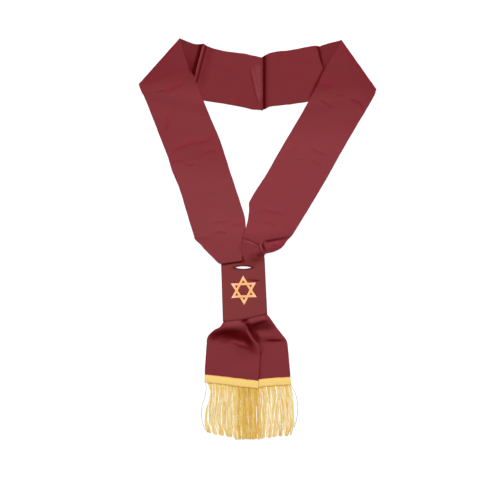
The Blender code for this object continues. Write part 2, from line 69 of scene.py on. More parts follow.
NECK_LEFT = (
    Row(-0.1019, 0.3677, -104.4, 0.1031),
    Row(-0.0938, 0.3628, -101.0, 0.1005),
    Row(-0.0805, 0.3581, -98.0, 0.0991),
    Row(-0.0573, 0.3531, -96.0, 0.0975),
    Row(-0.0235, 0.3487, -93.6, 0.0996),
    Row(-0.0074, 0.3447, -91.0, 0.1003),
    Row(0.0100, 0.3405, -90.0, 0.0981),
)
NECK_RIGHT = (
    Row(0.0020, 0.3385, -90.0, 0.0930),
    Row(0.0105, 0.3434, -90.0, 0.0989),
    Row(0.0145, 0.3458, -90.0, 0.1003),
    Row(0.0232, 0.3497, -91.2, 0.1008),
    Row(0.0363, 0.3527, -91.3, 0.1015),
    Row(0.0608, 0.3553, -90.0, 0.1012),
    Row(0.0937, 0.3615, -88.1, 0.1020),
    Row(0.1070, 0.3634, -84.0, 0.1008),
    Row(0.1169, 0.3621, -80.2, 0.0975),
)
MITRE_LEFT = Row(-0.1446, 0.3768, -131.7, 0.1157)
MITRE_RIGHT = Row(0.1558, 0.3738, -54.7, 0.1139)
UNDER_LEFT = (
    Row(-0.0910, 0.3605, -104.5, 0.0970),
    Row(-0.0985, 0.3645, -105.0, 0.0985),
    Row(-0.1030, 0.3672, -106.2, 0.1010),
    Row(-0.1088, 0.3665, -110.2, 0.1010),
    Row(-0.1190, 0.3672, -115.8, 0.1055),
    Row(-0.1306, 0.3716, -122.8, 0.1110),
    MITRE_LEFT,
)
FRONT_LEFT = (
    MITRE_LEFT,
    Row(-0.1378, 0.3499, -140.9, 0.1055),
    Row(-0.1276, 0.3225, -152.2, 0.1003),
    Row(-0.1184, 0.3041, -159.5, 0.1003),
    Row(-0.1016, 0.2608, -159.2, 0.0998),
    Row(-0.0872, 0.2260, -160.1, 0.1008),
    Row(-0.0715, 0.1892, -160.7, 0.1021),
    Row(-0.0595, 0.1530, -166.3, 0.1030),
    Row(-0.0530, 0.1322, -159.8, 0.0998),
    Row(-0.0348, 0.0769, -160.1, 0.1010),
    Row(-0.0243, 0.0424, -160.1, 0.1008),
    Row(-0.0225, 0.0230, -166.7, 0.0965),
    Row(-0.0270, 0.0120, -165.0, 0.0820),
    Row(-0.0300, -0.0050, -165.0, 0.0665),
    Row(-0.0302, -0.0220, -165.5, 0.0525),
    Row(-0.0298, -0.0340, -168.4, 0.0446),
    Row(-0.0298, -0.0382, -171.5, 0.0410),
)
UNDER_RIGHT = (
    Row(0.1060, 0.3590, -80.0, 0.0925),
    Row(0.1135, 0.3575, -79.5, 0.0900),
    Row(0.1182, 0.3630, -80.0, 0.0980),
    Row(0.1372, 0.3690, -67.0, 0.1040),
    MITRE_RIGHT,
)
FRONT_RIGHT = (
    MITRE_RIGHT,
    Row(0.1447, 0.3504, -46.0, 0.1075),
    Row(0.1288, 0.3246, -35.2, 0.1052),
    Row(0.1168, 0.3009, -31.3, 0.1036),
    Row(0.0948, 0.2578, -29.6, 0.1003),
    Row(0.0703, 0.2154, -29.6, 0.1003),
    Row(0.0392, 0.1625, -29.1, 0.1016),
    Row(0.0166, 0.1226, -29.6, 0.1008),
    Row(-0.0150, 0.0714, -29.4, 0.1010),
    Row(-0.0158, 0.0550, -27.0, 0.0932),
    Row(-0.0182, 0.0360, -19.5, 0.0867),
    Row(-0.0222, 0.0215, -12.0, 0.0845),
    Row(-0.0300, 0.0060, -5.3, 0.0850),
    Row(-0.0330, -0.0080, -4.5, 0.0785),
    Row(-0.0335, -0.0160, -5.0, 0.0655),
    Row(-0.0335, -0.0240, -2.0, 0.0496),
    Row(-0.0335, -0.0330, 5.0, 0.0464),
    Row(-0.0335, -0.0425, 8.0, 0.0446),
)
TAIL_LEFT = (
    Row(-0.0622, -0.1478, 9.3, 0.0357),
    Row(-0.0640, -0.1532, 8.5, 0.0387),
    Row(-0.0662, -0.1577, 5.0, 0.0419),
    Row(-0.0705, -0.1630, 3.7, 0.0470),
    Row(-0.0806, -0.1688, 0.8, 0.0611),
    Row(-0.0902, -0.1774, -2.0, 0.0772),
    Row(-0.0945, -0.1853, -2.4, 0.0886),
    Row(-0.0954, -0.1960, -0.6, 0.0964),
    Row(-0.0961, -0.2063, -0.4, 0.1003),
    Row(-0.0982, -0.2380, -1.1, 0.1015),
    Row(-0.0990, -0.2590, -6.5, 0.1008),
)
TAIL_RIGHT = (
    Row(-0.0300, -0.1418, 9.5, 0.0455),
    Row(-0.0300, -0.1471, 9.5, 0.0482),
    Row(-0.0290, -0.1517, 6.9, 0.0520),
    Row(-0.0275, -0.1620, 1.8, 0.0602),
    Row(-0.0290, -0.1780, 0.5, 0.0748),
    Row(-0.0305, -0.1890, 0.8, 0.0842),
    Row(-0.0320, -0.1995, 0.7, 0.0883),
    Row(-0.0340, -0.2290, 1.0, 0.0930),
    Row(-0.0382, -0.2713, 4.5, 0.1004),
)
TRIM_LEFT = (
    Row(-0.0984, -0.2524, -92.5, BRAID),
    Row(-0.0600, -0.2566, -91.0, BRAID),
    Row(-0.0420, -0.2588, -90.0, BRAID),
    Row(0.0012, -0.2638, -91.0, BRAID),
)
TRIM_RIGHT = (
    Row(-0.0382, -0.2647, -90.0, BRAID),
    Row(0.0012, -0.2616, -88.0, BRAID),
    Row(0.0275, -0.2589, -88.0, BRAID),
    Row(0.0616, -0.2569, -87.5, BRAID),
)

# Lines that the layers follow, in metres
Line = namedtuple("Line", "x0 y0 x1 y1")
HEM_LEFT = Line(-0.2219, 0.2910, -0.1010, 0.2600)
HEM_RIGHT = Line(0.0937, 0.2575, 0.2221, 0.2800)
SEAM_LEFT = Line(-0.1182, 0.3045, -0.1019, 0.3677)
SEAM_RIGHT = Line(0.1335, 0.2660, 0.1169, 0.3621)
MOUTH = Line(-0.0638, -0.1526, 0.0166, -0.1386)
RIDGE = Line(-0.0240, -0.1580, 0.0044, -0.2040)
PLEAT = ((-0.0360, 0.0055), (-0.0248, 0.0013), (0.0027, -0.0096), (0.0112, -0.0047), (0.0600, 0.0043))

# The crisp ridges of the right front's panel and of the left tail, in millimetres
SPINE = ((17.2, -6.6), (13.4, -3.6), (9.0, -3.9), (5.6, -8.4), (6.2, -13.5), (8.4, -19.6), (10.6, -25.0))
TAIL_RIDGE = ((-24.6, -155.0), (-23.4, -159.6), (-17.9, -172.7), (-10.6, -185.6), (-3.0, -192.0),
              (2.7, -200.5))

# The keeper
KEEPER_TOP_LEFT = np.array((-0.0686, -0.0425, 0))
KEEPER_TOP_RIGHT = np.array((0.0133, -0.0313, 0))
KEEPER_BOTTOM_LEFT = np.array((-0.0652, -0.1526, 0))
KEEPER_BOTTOM_RIGHT = np.array((0.0183, -0.1384, 0))
KEEPER_HEIGHT = 0.0063
MOUTH_SAG = 0.0028
MOUTH_SAG_LEFT = 1.2
MOUTH_SAG_RIGHT = 0.7
SLIT_CENTRE = (-0.0266, -0.0518)
SLIT_LENGTH = 0.0295
SLIT_WIDTH = 0.0047
STAR_CENTRE = (-0.0260, -0.0943)
STAR_RADIUS = 0.0274
STAR_BAR = 0.0044
STAR_LEAN = math.radians(2.4)

# A crease: a ridge (or a trough, where rise is below 0) along its points, in millimetres.
# It falls off over left on the left of its direction and over right on the other side. Its
# cloth is painted redder by red within wide of its line, where the sheen falls away, and a
# thin dark line of painted shade runs along it by dark.
Crease = namedtuple("Crease", "rise left right red wide dark points")
CREASES_LEFT = (
    Crease(0.9, 9.0, 3.5, 0.85, 4.5, 0.10, ((-176, 276), (-166, 280), (-152, 287), (-136, 292))),
    Crease(0.5, 4.0, 2.0, 0.20, 3.0, 0.45, ((-189, 276), (-181, 279), (-172, 279))),
    Crease(-0.9, 9.0, 7.0, 0.45, 6.0, 0.14, ((-212, 288), (-188, 302), (-166, 312), (-132, 320))),
    Crease(0.8, 2.5, 6.0, 0.80, 3.5, 0.15, ((-170, 239), (-168.5, 222), (-172, 203))),
    Crease(0.9, 8.0, 3.5, 0.80, 4.5, 0.08, ((-166, 165), (-138, 177), (-119, 183), (-99, 185), (-79, 198))),
    Crease(0.7, 6.0, 3.0, 0.75, 4.0, 0.05, ((-106, 160), (-91, 167), (-74, 168))),
    Crease(-0.6, 8.0, 6.0, 0.00, 3.0, 0.15, ((-138, 147), (-120, 151), (-100, 158))),
    Crease(0.6, 4.0, 2.5, 0.75, 4.0, 0.05, ((-164, 147), (-136, 150))),
    Crease(0.6, 5.0, 2.0, 0.20, 3.0, 0.35, ((-136, 141), (-126, 141), (-117, 144))),
    Crease(0.8, 7.0, 2.5, 0.35, 3.0, 0.22, ((-88, 31), (-68, 35), (-49, 35))),
    Crease(0.7, 6.0, 3.0, 0.90, 4.5, 0.05, ((-52, 28), (-40, 30), (-25, 28))),
    Crease(0.9, 6.0, 2.0, 0.35, 3.0, 0.50, ((-81, 12), (-74, 15.5), (-68, 16), (-57, 11))),
    Crease(0.5, 6.0, 3.0, 0.25, 3.0, 0.12, ((-114, 1), (-100, 5), (-86, 7))),
    Crease(0.5, 8.0, 6.0, 0.15, 6.0, 0.00, ((-120, 84), (-95, 90), (-72, 88))),
    Crease(0.0, 1.0, 1.0, 0.75, 6.0, 0.00, ((-142, 380), (-182, 335), (-224, 288))),
)
CREASES_RIGHT = (
    Crease(0.8, 3.0, 7.0, 0.35, 4.0, 0.60, ((103, 274), (107, 283), (114, 293), (117, 302))),
    Crease(0.8, 3.0, 7.0, 1.00, 6.5, 0.00, ((108, 290), (126, 291), (142, 288))),
    Crease(0.0, 1.0, 1.0, 0.75, 6.0, 0.00, ((154, 376), (188, 328), (224, 278))),
    Crease(0.8, 6.0, 2.5, 0.55, 3.0, 0.30, ((114, 265), (128, 257), (141, 247))),
    Crease(0.5, 4.0, 2.5, 0.45, 3.0, 0.15, ((145, 273), (162, 269))),
    Crease(0.7, 6.0, 3.0, 0.60, 5.0, 0.45, ((170, 262), (182, 261), (191, 257), (196, 249), (197, 239))),
    Crease(0.8, 6.0, 3.5, 0.90, 5.0, 0.08, ((59, 195), (68, 186), (70, 178), (60, 170), (44, 161))),
    Crease(0.8, 7.0, 2.5, 0.45, 3.0, 0.35, ((94, 174), (114, 166), (133, 156))),
    Crease(0.6, 5.0, 2.5, 0.35, 3.0, 0.25, ((97, 151), (109, 147), (121, 139))),
    Crease(0.4, 5.0, 3.0, 0.45, 4.0, 0.00, ((72, 154), (93, 150))),
    Crease(0.6, 6.0, 2.5, 0.75, 3.5, 0.22, ((-3, 53), (14, 57), (24, 53), (33, 54), (44, 50), (56, 45))),
    Crease(0.6, 5.0, 2.5, 1.00, 5.0, 0.08, ((3, 35), (20, 33.5), (36, 25))),
)
CREASES_NECK_LEFT = (
    Crease(-0.5, 1.6, 1.6, 0.30, 2.0, 0.50, ((-16, 324), (-12, 305), (-8, 288), (-3, 268), (3.5, 250))),
    Crease(0.4, 12.0, 6.0, 0.20, 8.0, 0.00, ((-90, 330), (-60, 322), (-30, 325))),
)
CREASES_NECK_RIGHT = (
    Crease(0.5, 10.0, 6.0, 0.25, 8.0, 0.00, ((40, 305), (66, 312), (92, 306))),
    Crease(0.5, 6.0, 4.0, 0.30, 4.0, 0.00, ((84, 338), (98, 330))),
)
CREASES_KEEPER = (
    Crease(-0.6, 1.3, 1.3, 0.10, 2.0, 0.90, ((-22, -73.2), (-12, -75.2), (6.5, -76.3))),
)
CREASES_TAIL_LEFT = (
    Crease(0.7, 3.5, 3.0, 0.10, 3.0, 0.00, ((-52, -190), (-38, -194), (-28, -198), (-18, -203))),
)
CREASES_TAIL_RIGHT = (
    Crease(-0.7, 3.0, 3.0, 0.20, 3.0, 0.45, ((10, -188), (28, -188.6), (50, -188))),
)

# A patch of painted shade in a hollow or under a shadow: its strength and middle, half its
# length and width in millimetres, and the direction of its length in degrees.
Patch = namedtuple("Patch", "strength x y long wide turn")
HOLLOWS_TAIL_LEFT = (
    Patch(0.95, -26, -152.0, 7.5, 3.3, 0),
    Patch(0.42, -63, -175.5, 9, 6.0, 4),
    Patch(0.93, -46, -176.4, 31, 12.0, -4),
    Patch(0.34, -62, -188.0, 13, 8.0, 0),
    Patch(0.20, -26, -202.0, 24, 15.0, -12),
    Patch(0.72, -79, -179.5, 13, 8.5, 24),
    Patch(0.60, -34, -184.0, 17, 6.0, -22),
    Patch(0.85, -18, -187, 16, 7.5, -52),
    Patch(0.45, -28, -200.0, 17, 2.8, -21),
    Patch(0.42, -10, -203.0, 15, 8.0, -50),
)
HOLLOWS_TAIL_RIGHT = (
    Patch(0.95, -24, -150.8, 7.5, 2.8, 10),
    Patch(0.95, -14.5, -166.5, 14, 3.6, -62),
    Patch(0.60, -8, -163.0, 12, 6.0, -20),
    Patch(0.80, -4, -179.5, 15, 7.0, -62),
    Patch(0.72, 3, -155.5, 19, 3.0, 17),
    Patch(0.58, 9, -160, 23, 10.5, -12),
    Patch(0.72, 32, -188.3, 18, 2.8, 0),
    Patch(0.32, 17, -187.0, 28, 7.0, 2),
    Patch(0.34, 2, -203.0, 14, 10.0, -60),
)
HOLLOWS_FRONT_LEFT = (
    Patch(0.40, -124, 317, 10, 5.0, -58),
)
POCKET_HOLLOW = Patch(0.72, 11.2, -13.8, 8.5, 3.0, -70)
HOLLOWS_PANEL = (
    Patch(0.60, -2, -8.6, 7, 1.3, -22),
    Patch(0.42, 4.6, -28.3, 7, 5.0, 12),
    Patch(0.34, -4, -30, 15, 6.5, 8),
    POCKET_HOLLOW,
    Patch(0.60, -28, -35, 2.6, 5.0, 0),
    Patch(0.45, 31.0, -9.8, 5.0, 1.3, -14),
    Patch(0.50, 4.2, -18.0, 7.0, 1.5, -66),
)

# A line of painted sheen along a ridge that catches the light: strength, half width and points
# in millimetres
SheenLine = namedtuple("SheenLine", "strength wide points")
SHEEN_LINES_PANEL = (
    SheenLine(1.00, 0.8, SPINE),
    SheenLine(0.70, 1.0, ((-27.0, -1.8), (-14.0, -5.2), (0.0, -10.6))),
    SheenLine(0.20, 2.2, ((20.0, -8.6), (30.0, -7.0), (40.0, -4.4))),
)
SHEEN_LINES_TAIL_LEFT = (
    SheenLine(0.85, 0.8, TAIL_RIDGE),
    SheenLine(0.25, 4.5, ((-62.0, -158.6), (-44.0, -156.6), (-27.0, -153.6))),
    SheenLine(0.10, 3.2, ((-52.0, -188.0), (-38.0, -192.0), (-26.0, -196.0))),
)
SHEEN_LINES_TAIL_RIGHT = (
    SheenLine(0.25, 3.6, ((-17.0, -153.0), (0.0, -149.0), (15.0, -145.0))),
)
SHEEN_LINES_NECK_LEFT = (
    SheenLine(0.75, 1.3, ((-101.0, 364.0), (-107.0, 346.0), (-112.0, 328.0), (-117.0, 310.0))),
    SheenLine(0.60, 1.6, ((-10.0, 322.0), (-5.0, 300.0), (-1.0, 280.0), (4.0, 256.0))),
    SheenLine(0.35, 6.0, ((0.0, 330.0), (2.0, 295.0), (6.0, 262.0))),
)


def smooth(value, start, end):
    """0 before start and 1 past end, with a smooth change between them."""
    share = np.clip((value - start) / (end - start), 0, 1)
    return share * share * (3 - 2 * share)


def gaussian(distance, width):
    return np.exp(-(distance / width) ** 2)


# Rules for a height or a shade, which run along x, y, a share or a distance from a line


class Step(namedtuple("Step", "amount start end")):
    """Grows smoothly from nothing at its start to its amount at its end."""

    def at(self, value):
        return self.amount * smooth(value, self.start, self.end)


class Span(namedtuple("Span", "amount start full last end")):
    """Nothing at its start and end, and its amount from full to last."""

    def at(self, value):
        return self.amount * smooth(value, self.start, self.full) * smooth(value, self.end, self.last)


class Band(namedtuple("Band", "amount place width")):
    """Its amount at its place, and less and less over its width on both sides."""

    def at(self, value):
        return self.amount * gaussian(value - self.place, self.width)


def cover(*shades):
    """Shades from 0 to 1, laid over each other."""
    light = 1
    for shade in shades:
        light = light * (1 - shade)
    return 1 - light


def plan(grid):
    """The x and the y of a grid's points."""
    return grid[..., 0].copy(), grid[..., 1].copy()


def unit(vectors):
    """Vectors with their length brought to 1."""
    return vectors / np.maximum(np.linalg.norm(vectors, axis=-1, keepdims=True), 1e-12)


def distances(points):
    """Distance along a line of points, from 0 at its first one."""
    steps = np.linalg.norm(np.diff(points, axis=0), axis=1)
    return np.concatenate(([0], np.cumsum(steps)))


def curve_between(start, end, slope, slope_on, length, t):
    """Points at shares t of a smooth curve between two points that have slopes."""
    keep = t * t * (3 - 2 * t)
    bend = slope * t * (1 - t) ** 2 * length - slope_on * t * t * (1 - t) * length
    return start * (1 - keep) + end * keep + bend


def height(level):
    return REST + level * LEVEL


def right_of(line, x, y):
    """Distance to the right of a line, seen along it from its first point."""
    run_x, run_y = line.x1 - line.x0, line.y1 - line.y0
    return ((x - line.x0) * run_y - (y - line.y0) * run_x) / math.hypot(run_x, run_y)


def mouth_sag(x):
    """How far the keeper's lower edge hangs below its straight line at x: more on its left."""
    share = np.clip((x - MOUTH.x0) / (MOUTH.x1 - MOUTH.x0), 0, 1)
    lean = MOUTH_SAG_LEFT + (MOUTH_SAG_RIGHT - MOUTH_SAG_LEFT) * share
    return MOUTH_SAG * 4 * share * (1 - share) * lean


def below_mouth(x, y):
    return right_of(MOUTH, x, y) - mouth_sag(x)


def polyline_y(points, x):
    """The y of a line through points, at x; it runs on past its ends."""
    y = np.full_like(x, points[0][1])
    for (x0, y0), (x1, y1) in zip(points, points[1:]):
        y = np.where(x > x0, y0 + (y1 - y0) * (x - x0) / (x1 - x0), y)
    first, second = points[0], points[1]
    slope = (second[1] - first[1]) / (second[0] - first[0])
    return np.where(x <= first[0], first[1] + slope * (x - first[0]), y)


def near_line(points, x, y):
    """Distance to a polyline, signed + on its left, and the share along it from 0 to 1."""
    points = np.array(points) * MM
    runs = np.linalg.norm(np.diff(points, axis=0), axis=1)
    starts = np.concatenate(([0], np.cumsum(runs)))
    best = np.full_like(x, 1e9)
    side = np.ones_like(x)
    along = np.zeros_like(x)
    for i, run in enumerate(runs):
        (ax, ay), (bx, by) = points[i], points[i + 1]
        ux, uy = (bx - ax) / run, (by - ay) / run
        reach = np.clip((x - ax) * ux + (y - ay) * uy, 0, run)
        away_x, away_y = x - ax - ux * reach, y - ay - uy * reach
        distance = np.hypot(away_x, away_y)
        closer = distance < best
        best = np.where(closer, distance, best)
        side = np.where(closer, np.where(ux * away_y - uy * away_x >= 0, 1, -1), side)
        along = np.where(closer, (starts[i] + reach) / starts[-1], along)
    return best * side, along


# Where creases and lines of painted sheen fade, as shares of their length
RELIEF_FADE = Span(1, 0, 0.3, 0.7, 1)
CREASE_FADE = Span(1, -0.02, 0.18, 0.82, 1.02)
SHEEN_FADE = Span(1, -0.02, 0.15, 0.85, 1.02)

# The half width of a crease's painted dark line, the painted redder tone of a ribbon's edges
# over a share of its width, where the sheen falls away, and how crisp the rim of a patch is: 1
# is a plain bell
DARK_LINE = 1.1 * MM
EDGE_RED = Band(0.55, 0, 0.022)
PATCH_EDGE = 1.7


def crease_relief(creases, x, y):
    """Height of all the creases."""
    relief = np.zeros_like(x)
    for crease in creases:
        distance, along = near_line(crease.points, x, y)
        reach = np.where(distance > 0, crease.left, crease.right) * MM
        relief += crease.rise * MM * gaussian(distance, reach) * RELIEF_FADE.at(along)
    return relief


def crease_paint(creases, x, y):
    """Painted red where the creases lose the sheen, and painted shade on their lines, each from 0 to 1."""
    red = np.zeros_like(x)
    dark = np.zeros_like(x)
    broken = uneven(x, y, 0.28, 0.016, 5)
    for crease in creases:
        distance, along = near_line(crease.points, x, y)
        fade = CREASE_FADE.at(along) * broken
        red = np.maximum(red, crease.red * gaussian(distance, crease.wide * MM) * fade)
        dark = np.maximum(dark, crease.dark * gaussian(distance, DARK_LINE) * fade)
    return red, dark


def patches(table, x, y):
    """How far the patches cover, from 0 to 1: their painted shade, or a share of a depth."""
    light = np.ones_like(x)
    for patch in table:
        turn = math.radians(patch.turn)
        off_x, off_y = x - patch.x * MM, y - patch.y * MM
        along = off_x * math.cos(turn) + off_y * math.sin(turn)
        across = off_y * math.cos(turn) - off_x * math.sin(turn)
        spread = (along / patch.long / MM) ** 2 + (across / patch.wide / MM) ** 2
        light *= 1 - patch.strength * np.exp(-spread ** PATCH_EDGE)
    return 1 - light


def sheen_paint(sheen_lines, x, y):
    """Painted sheen along the ridges that catch the light, from 0 to 1."""
    painted_sheen = np.zeros_like(x)
    broken = uneven(x, y, 0.20, 0.011, 3)
    for sheen_line in sheen_lines:
        distance, along = near_line(sheen_line.points, x, y)
        fade = SHEEN_FADE.at(along) * broken
        painted_sheen = np.maximum(painted_sheen, sheen_line.strength * gaussian(distance, sheen_line.wide * MM) * fade)
    return painted_sheen


def edge_red(share):
    """Painted redder tone at a ribbon's folded edges, where the sheen falls away."""
    return EDGE_RED.at(share) + EDGE_RED.at(1 - share)


# Waves of these sizes in two directions, so far apart in radians, make up a drift
DRIFT_SIZES = (1.0, 0.62, 0.41)
DRIFT_CROSS = 1.9
DRIFT_STRETCH = 0.7


def drift(x, y, spacing, seed):
    """A smooth uneven surface between -1 and 1."""
    chance = random.Random(seed)
    total = np.zeros_like(x)
    for size in DRIFT_SIZES:
        angle = chance.uniform(0, math.tau)
        for turn, stretch in ((0, 1), (DRIFT_CROSS, DRIFT_STRETCH)):
            reach = x * math.cos(angle + turn) + y * math.sin(angle + turn)
            total += np.sin(reach / spacing / size * math.tau * stretch + chance.uniform(0, 6)) * size
    return total / (2 * sum(DRIFT_SIZES))


def uneven(x, y, amount, spacing, seed):
    """A factor that drifts between 1 and 1 - 2 * amount."""
    return 1 - amount + amount * drift(x, y, spacing, seed)


def row_ends(row):
    angle = math.radians(row.turn)
    return (row.x, row.y, row.x + row.width * math.cos(angle), row.y + row.width * math.sin(angle))


def flow(rows, cell):
    """Lines across a ribbon, on a smooth curve through its rows at both edges."""
    ends = np.array([row_ends(row) for row in rows])
    lengths = np.linalg.norm(np.diff(ends, axis=0), axis=1)
    slopes = np.empty_like(ends)
    slopes[0] = (ends[1] - ends[0]) / lengths[0]
    slopes[-1] = (ends[-1] - ends[-2]) / lengths[-1]
    for i in range(1, len(ends) - 1):
        slopes[i] = (ends[i + 1] - ends[i - 1]) / (lengths[i - 1] + lengths[i])
    parts = []
    for i, length in enumerate(lengths):
        count = max(2, math.ceil(length / math.sqrt(2) / cell))
        t = np.arange(count)[:, None] / count
        parts.append(curve_between(ends[i], ends[i + 1], slopes[i], slopes[i + 1], length, t))
    parts.append(ends[-1:])
    return np.concatenate(parts)


def laid(rows, level, columns, cell=CELL):
    """A ribbon's grid of points on its rows, at the height that level gives."""
    lines = flow(rows, cell)
    share = np.linspace(0, 1, columns + 1)[None, :]
    x = lines[:, 0:1] + (lines[:, 2:3] - lines[:, 0:1]) * share
    y = lines[:, 1:2] + (lines[:, 3:4] - lines[:, 1:2]) * share
    share = np.broadcast_to(share, x.shape)
    return np.stack((x, y, level(x, y, share)), axis=2)


def half_turn(line, radius, side):
    """Cloth rolled round a fold at a line of points, to its right (1) or its left (-1)."""
    run = unit(line[-1] - line[0])
    outward = np.array((run[1], -run[0], 0)) * abs(radius) * side
    lines = []
    for step in range(1, FOLD_STEPS):
        angle = math.pi * step / FOLD_STEPS
        rise = np.array((0, 0, radius * (1 - math.cos(angle))))
        lines.append(line + outward * math.sin(angle) + rise)
    return np.stack(lines)


def flat_height(x, y, share):
    return np.full_like(x, height(0))


# Small unevenness of the whole sash and of its edges, and where the left tail lies on the
# right one
BED_RISE = 0.0004
EDGE_DRIFT = 0.0003
ON_TAIL = Step(1, -0.0600, -0.0420)


def bed(x, y):
    """How far the whole lay of the cloth rises off the surface: the same for all layers."""
    return BED_RISE * (1 + drift(x, y, 0.115, 4))


def under_tail(x):
    """1 where the right tail lies under the left one, 0 where the left one lies alone."""
    return ON_TAIL.at(x)


# Heights of the neck band and of the left front, in metres or in levels
UNDER_SEAM = Step(1, 0.0050, 0.0240)
UNDER_HEM = Step(1, 0.0020, 0.0300)
SEAM_LIP = Band(0.0020, 0.0025, 0.0026)
SEAM_LIP_RANGE = Step(1, 0.262, 0.300)
BACK_OVERLAP = Step(1, -0.0180, 0.0)
BACK_FOLD = Span(0.0026, -0.0120, 0.0020, 0.0055, 0.0105)
BACK_CREASE_END = Step(1, 0.002, 0.006)
BACK_RISE = Span(0.0016, 0.0140, 0.0220, 0.0220, 0.0500)
LEFT_CLIMB = Step(5.75, 0.0620, -0.0380)
LEFT_DROP = Step(0.70, 0.45, 1.0)
LEFT_DROP_END = Step(1, 0.0, -0.0400)
LEFT_DIP = Step(1.7, 0.15, 0.0)
LEFT_DIP_RANGE = Span(1, -0.0340, -0.0240, -0.0200, -0.0020)
LEFT_DEEPEST = -0.0004


def neck_left_height(x, y, share):
    """Lies on the left front at its seam, and on the right half at the centre back."""
    seam = right_of(SEAM_LEFT, x, y)
    level = 1 - UNDER_SEAM.at(seam) + BACK_OVERLAP.at(x)
    lip = SEAM_LIP.at(seam) * SEAM_LIP_RANGE.at(y)
    relief = crease_relief(CREASES_NECK_LEFT, x, y) * (1 - BACK_CREASE_END.at(x))
    return height(level) + lip + BACK_FOLD.at(x) + relief


def neck_right_height(x, y, share):
    """Lies on the right front at its seam, and rises beside the centre-back seam."""
    level = 1 - UNDER_SEAM.at(-right_of(SEAM_RIGHT, x, y))
    return height(level) + crease_relief(CREASES_NECK_RIGHT, x, y) + BACK_RISE.at(x)


def front_left_height(x, y, share):
    """Folded over at the hem, it climbs on the right front and into the keeper."""
    over_neck = 1 - UNDER_HEM.at(right_of(HEM_LEFT, x, y))
    drop = LEFT_DROP.at(share) * (1 - LEFT_DROP_END.at(y))
    climb = LEFT_CLIMB.at(y) * (1 - drop)
    dip = LEFT_DIP.at(share) * LEFT_DIP_RANGE.at(y)
    relief = np.maximum(crease_relief(CREASES_LEFT, x, y), LEFT_DEEPEST)
    return height(FOLD_LEVELS * over_neck + climb - dip) + relief


# The right front's pleat, in levels. Its cloth rises towards the pleat's line, drops into a
# valley there and goes on below as a panel, or as a wing beside the pocket on its right.
PLEAT_RISE = Step(2.4, 0.0450, 0.0)
PLEAT_EASE = Step(0.70, 0.0100, 0.0600)
PLEAT_DROP = Step(1, 0.0010, -0.0028)
POCKET = Step(1, 0.0075, 0.0120)
PANEL = 3.0
PANEL_RISE = Step(0.2, -0.0120, -0.0300)
WING = 0.5
WING_CREST = Band(1.6, -0.0120, 0.0075)
VALLEY = 0.9
VALLEY_DEEPER = 1.3
VALLEY_PLACE = 0.0004
VALLEY_WIDTH = 0.0015
VALLEY_WIDER = 0.0006
POCKET_DEPTH = 1.2
PANEL_LOWEST = -0.15
SPINE_RISE = 0.0015
SPINE_LEFT = 0.0010
SPINE_RIGHT = 0.0015
SPINE_END = Step(1, 1.0, 0.8)


def front_right_height(x, y, share):
    """Folded over at the hem, and pleated on its way into the keeper."""
    over_neck = 1 - UNDER_HEM.at(right_of(HEM_RIGHT, x, y))
    above = y - polyline_y(PLEAT, x)
    pocket = POCKET.at(x)
    rise = PLEAT_RISE.at(above) * (1 - PLEAT_EASE.at(x))
    panel = PANEL + PANEL_RISE.at(above)
    wing = WING + WING_CREST.at(above)
    below = panel * (1 - pocket) + wing * pocket
    drop = PLEAT_DROP.at(above)
    valley = VALLEY + VALLEY_DEEPER * pocket
    valley = valley * gaussian(above - VALLEY_PLACE, VALLEY_WIDTH + VALLEY_WIDER * pocket)
    level = np.maximum(PANEL_LOWEST, rise * (1 - drop) + below * drop - valley)
    level = np.maximum(PANEL_LOWEST, level - POCKET_DEPTH * patches((POCKET_HOLLOW,), x, y))
    ridge, along = near_line(SPINE, x, y)
    spine = gaussian(ridge, np.where(ridge > 0, SPINE_LEFT, SPINE_RIGHT)) * SPINE_END.at(along)
    z = height(FOLD_LEVELS * over_neck + level)
    return z + SPINE_RISE * spine + crease_relief(CREASES_RIGHT, x, y)


# The tails rise over the keeper's lower lip, in levels, and then lie down
LIP_INSIDE = 1.86
LIP_RISE = Step(3.0, -0.0050, 0.0070)
LIP_EDGE = 0.5
LIP_EDGE_SHARE = Step(1, 0.0, 0.2)
LEFT_DOWN = Step(1, 0.0095, 0.0250)
RIGHT_DOWN = Step(1, 0.0080, 0.0300)
ON_BRAID = Step(1, -0.2280, -0.2460)
TAIL_RIDGE_RISE = 0.0014
TAIL_RIDGE_WIDTH = 0.0014
TAIL_RIDGE_END = Step(1, 1.0, 0.85)
BESIDE_RIDGE = Step(0.70, 0.0030, 0.0160)
UNDER_RIDGE = 0.30
OUTSIDE = Step(1, 0.0050, 0.0120)
TUCK = Step(1.1, 0.24, 0.14)
TUCK_END = Step(1, 0.010, 0.004)
TAIL_LOWEST = -0.1


def lip_height(below, share_in):
    """Height in levels of a tail below the keeper's lower mouth, less at its outer edge."""
    edge = 1 - LIP_EDGE * (1 - LIP_EDGE_SHARE.at(share_in))
    return (LIP_INSIDE + LIP_RISE.at(below)) * edge


def tail_left_height(x, y, share):
    below = below_mouth(x, y)
    rest = under_tail(x) * (1 + ON_BRAID.at(y))
    down = LEFT_DOWN.at(below)
    ridge, along = near_line(TAIL_RIDGE, x, y)
    spine = TAIL_RIDGE_RISE * gaussian(ridge, TAIL_RIDGE_WIDTH) * TAIL_RIDGE_END.at(along)
    level = rest * down + lip_height(below, share) * (1 - down)
    return height(level) + spine + crease_relief(CREASES_TAIL_LEFT, x, y)


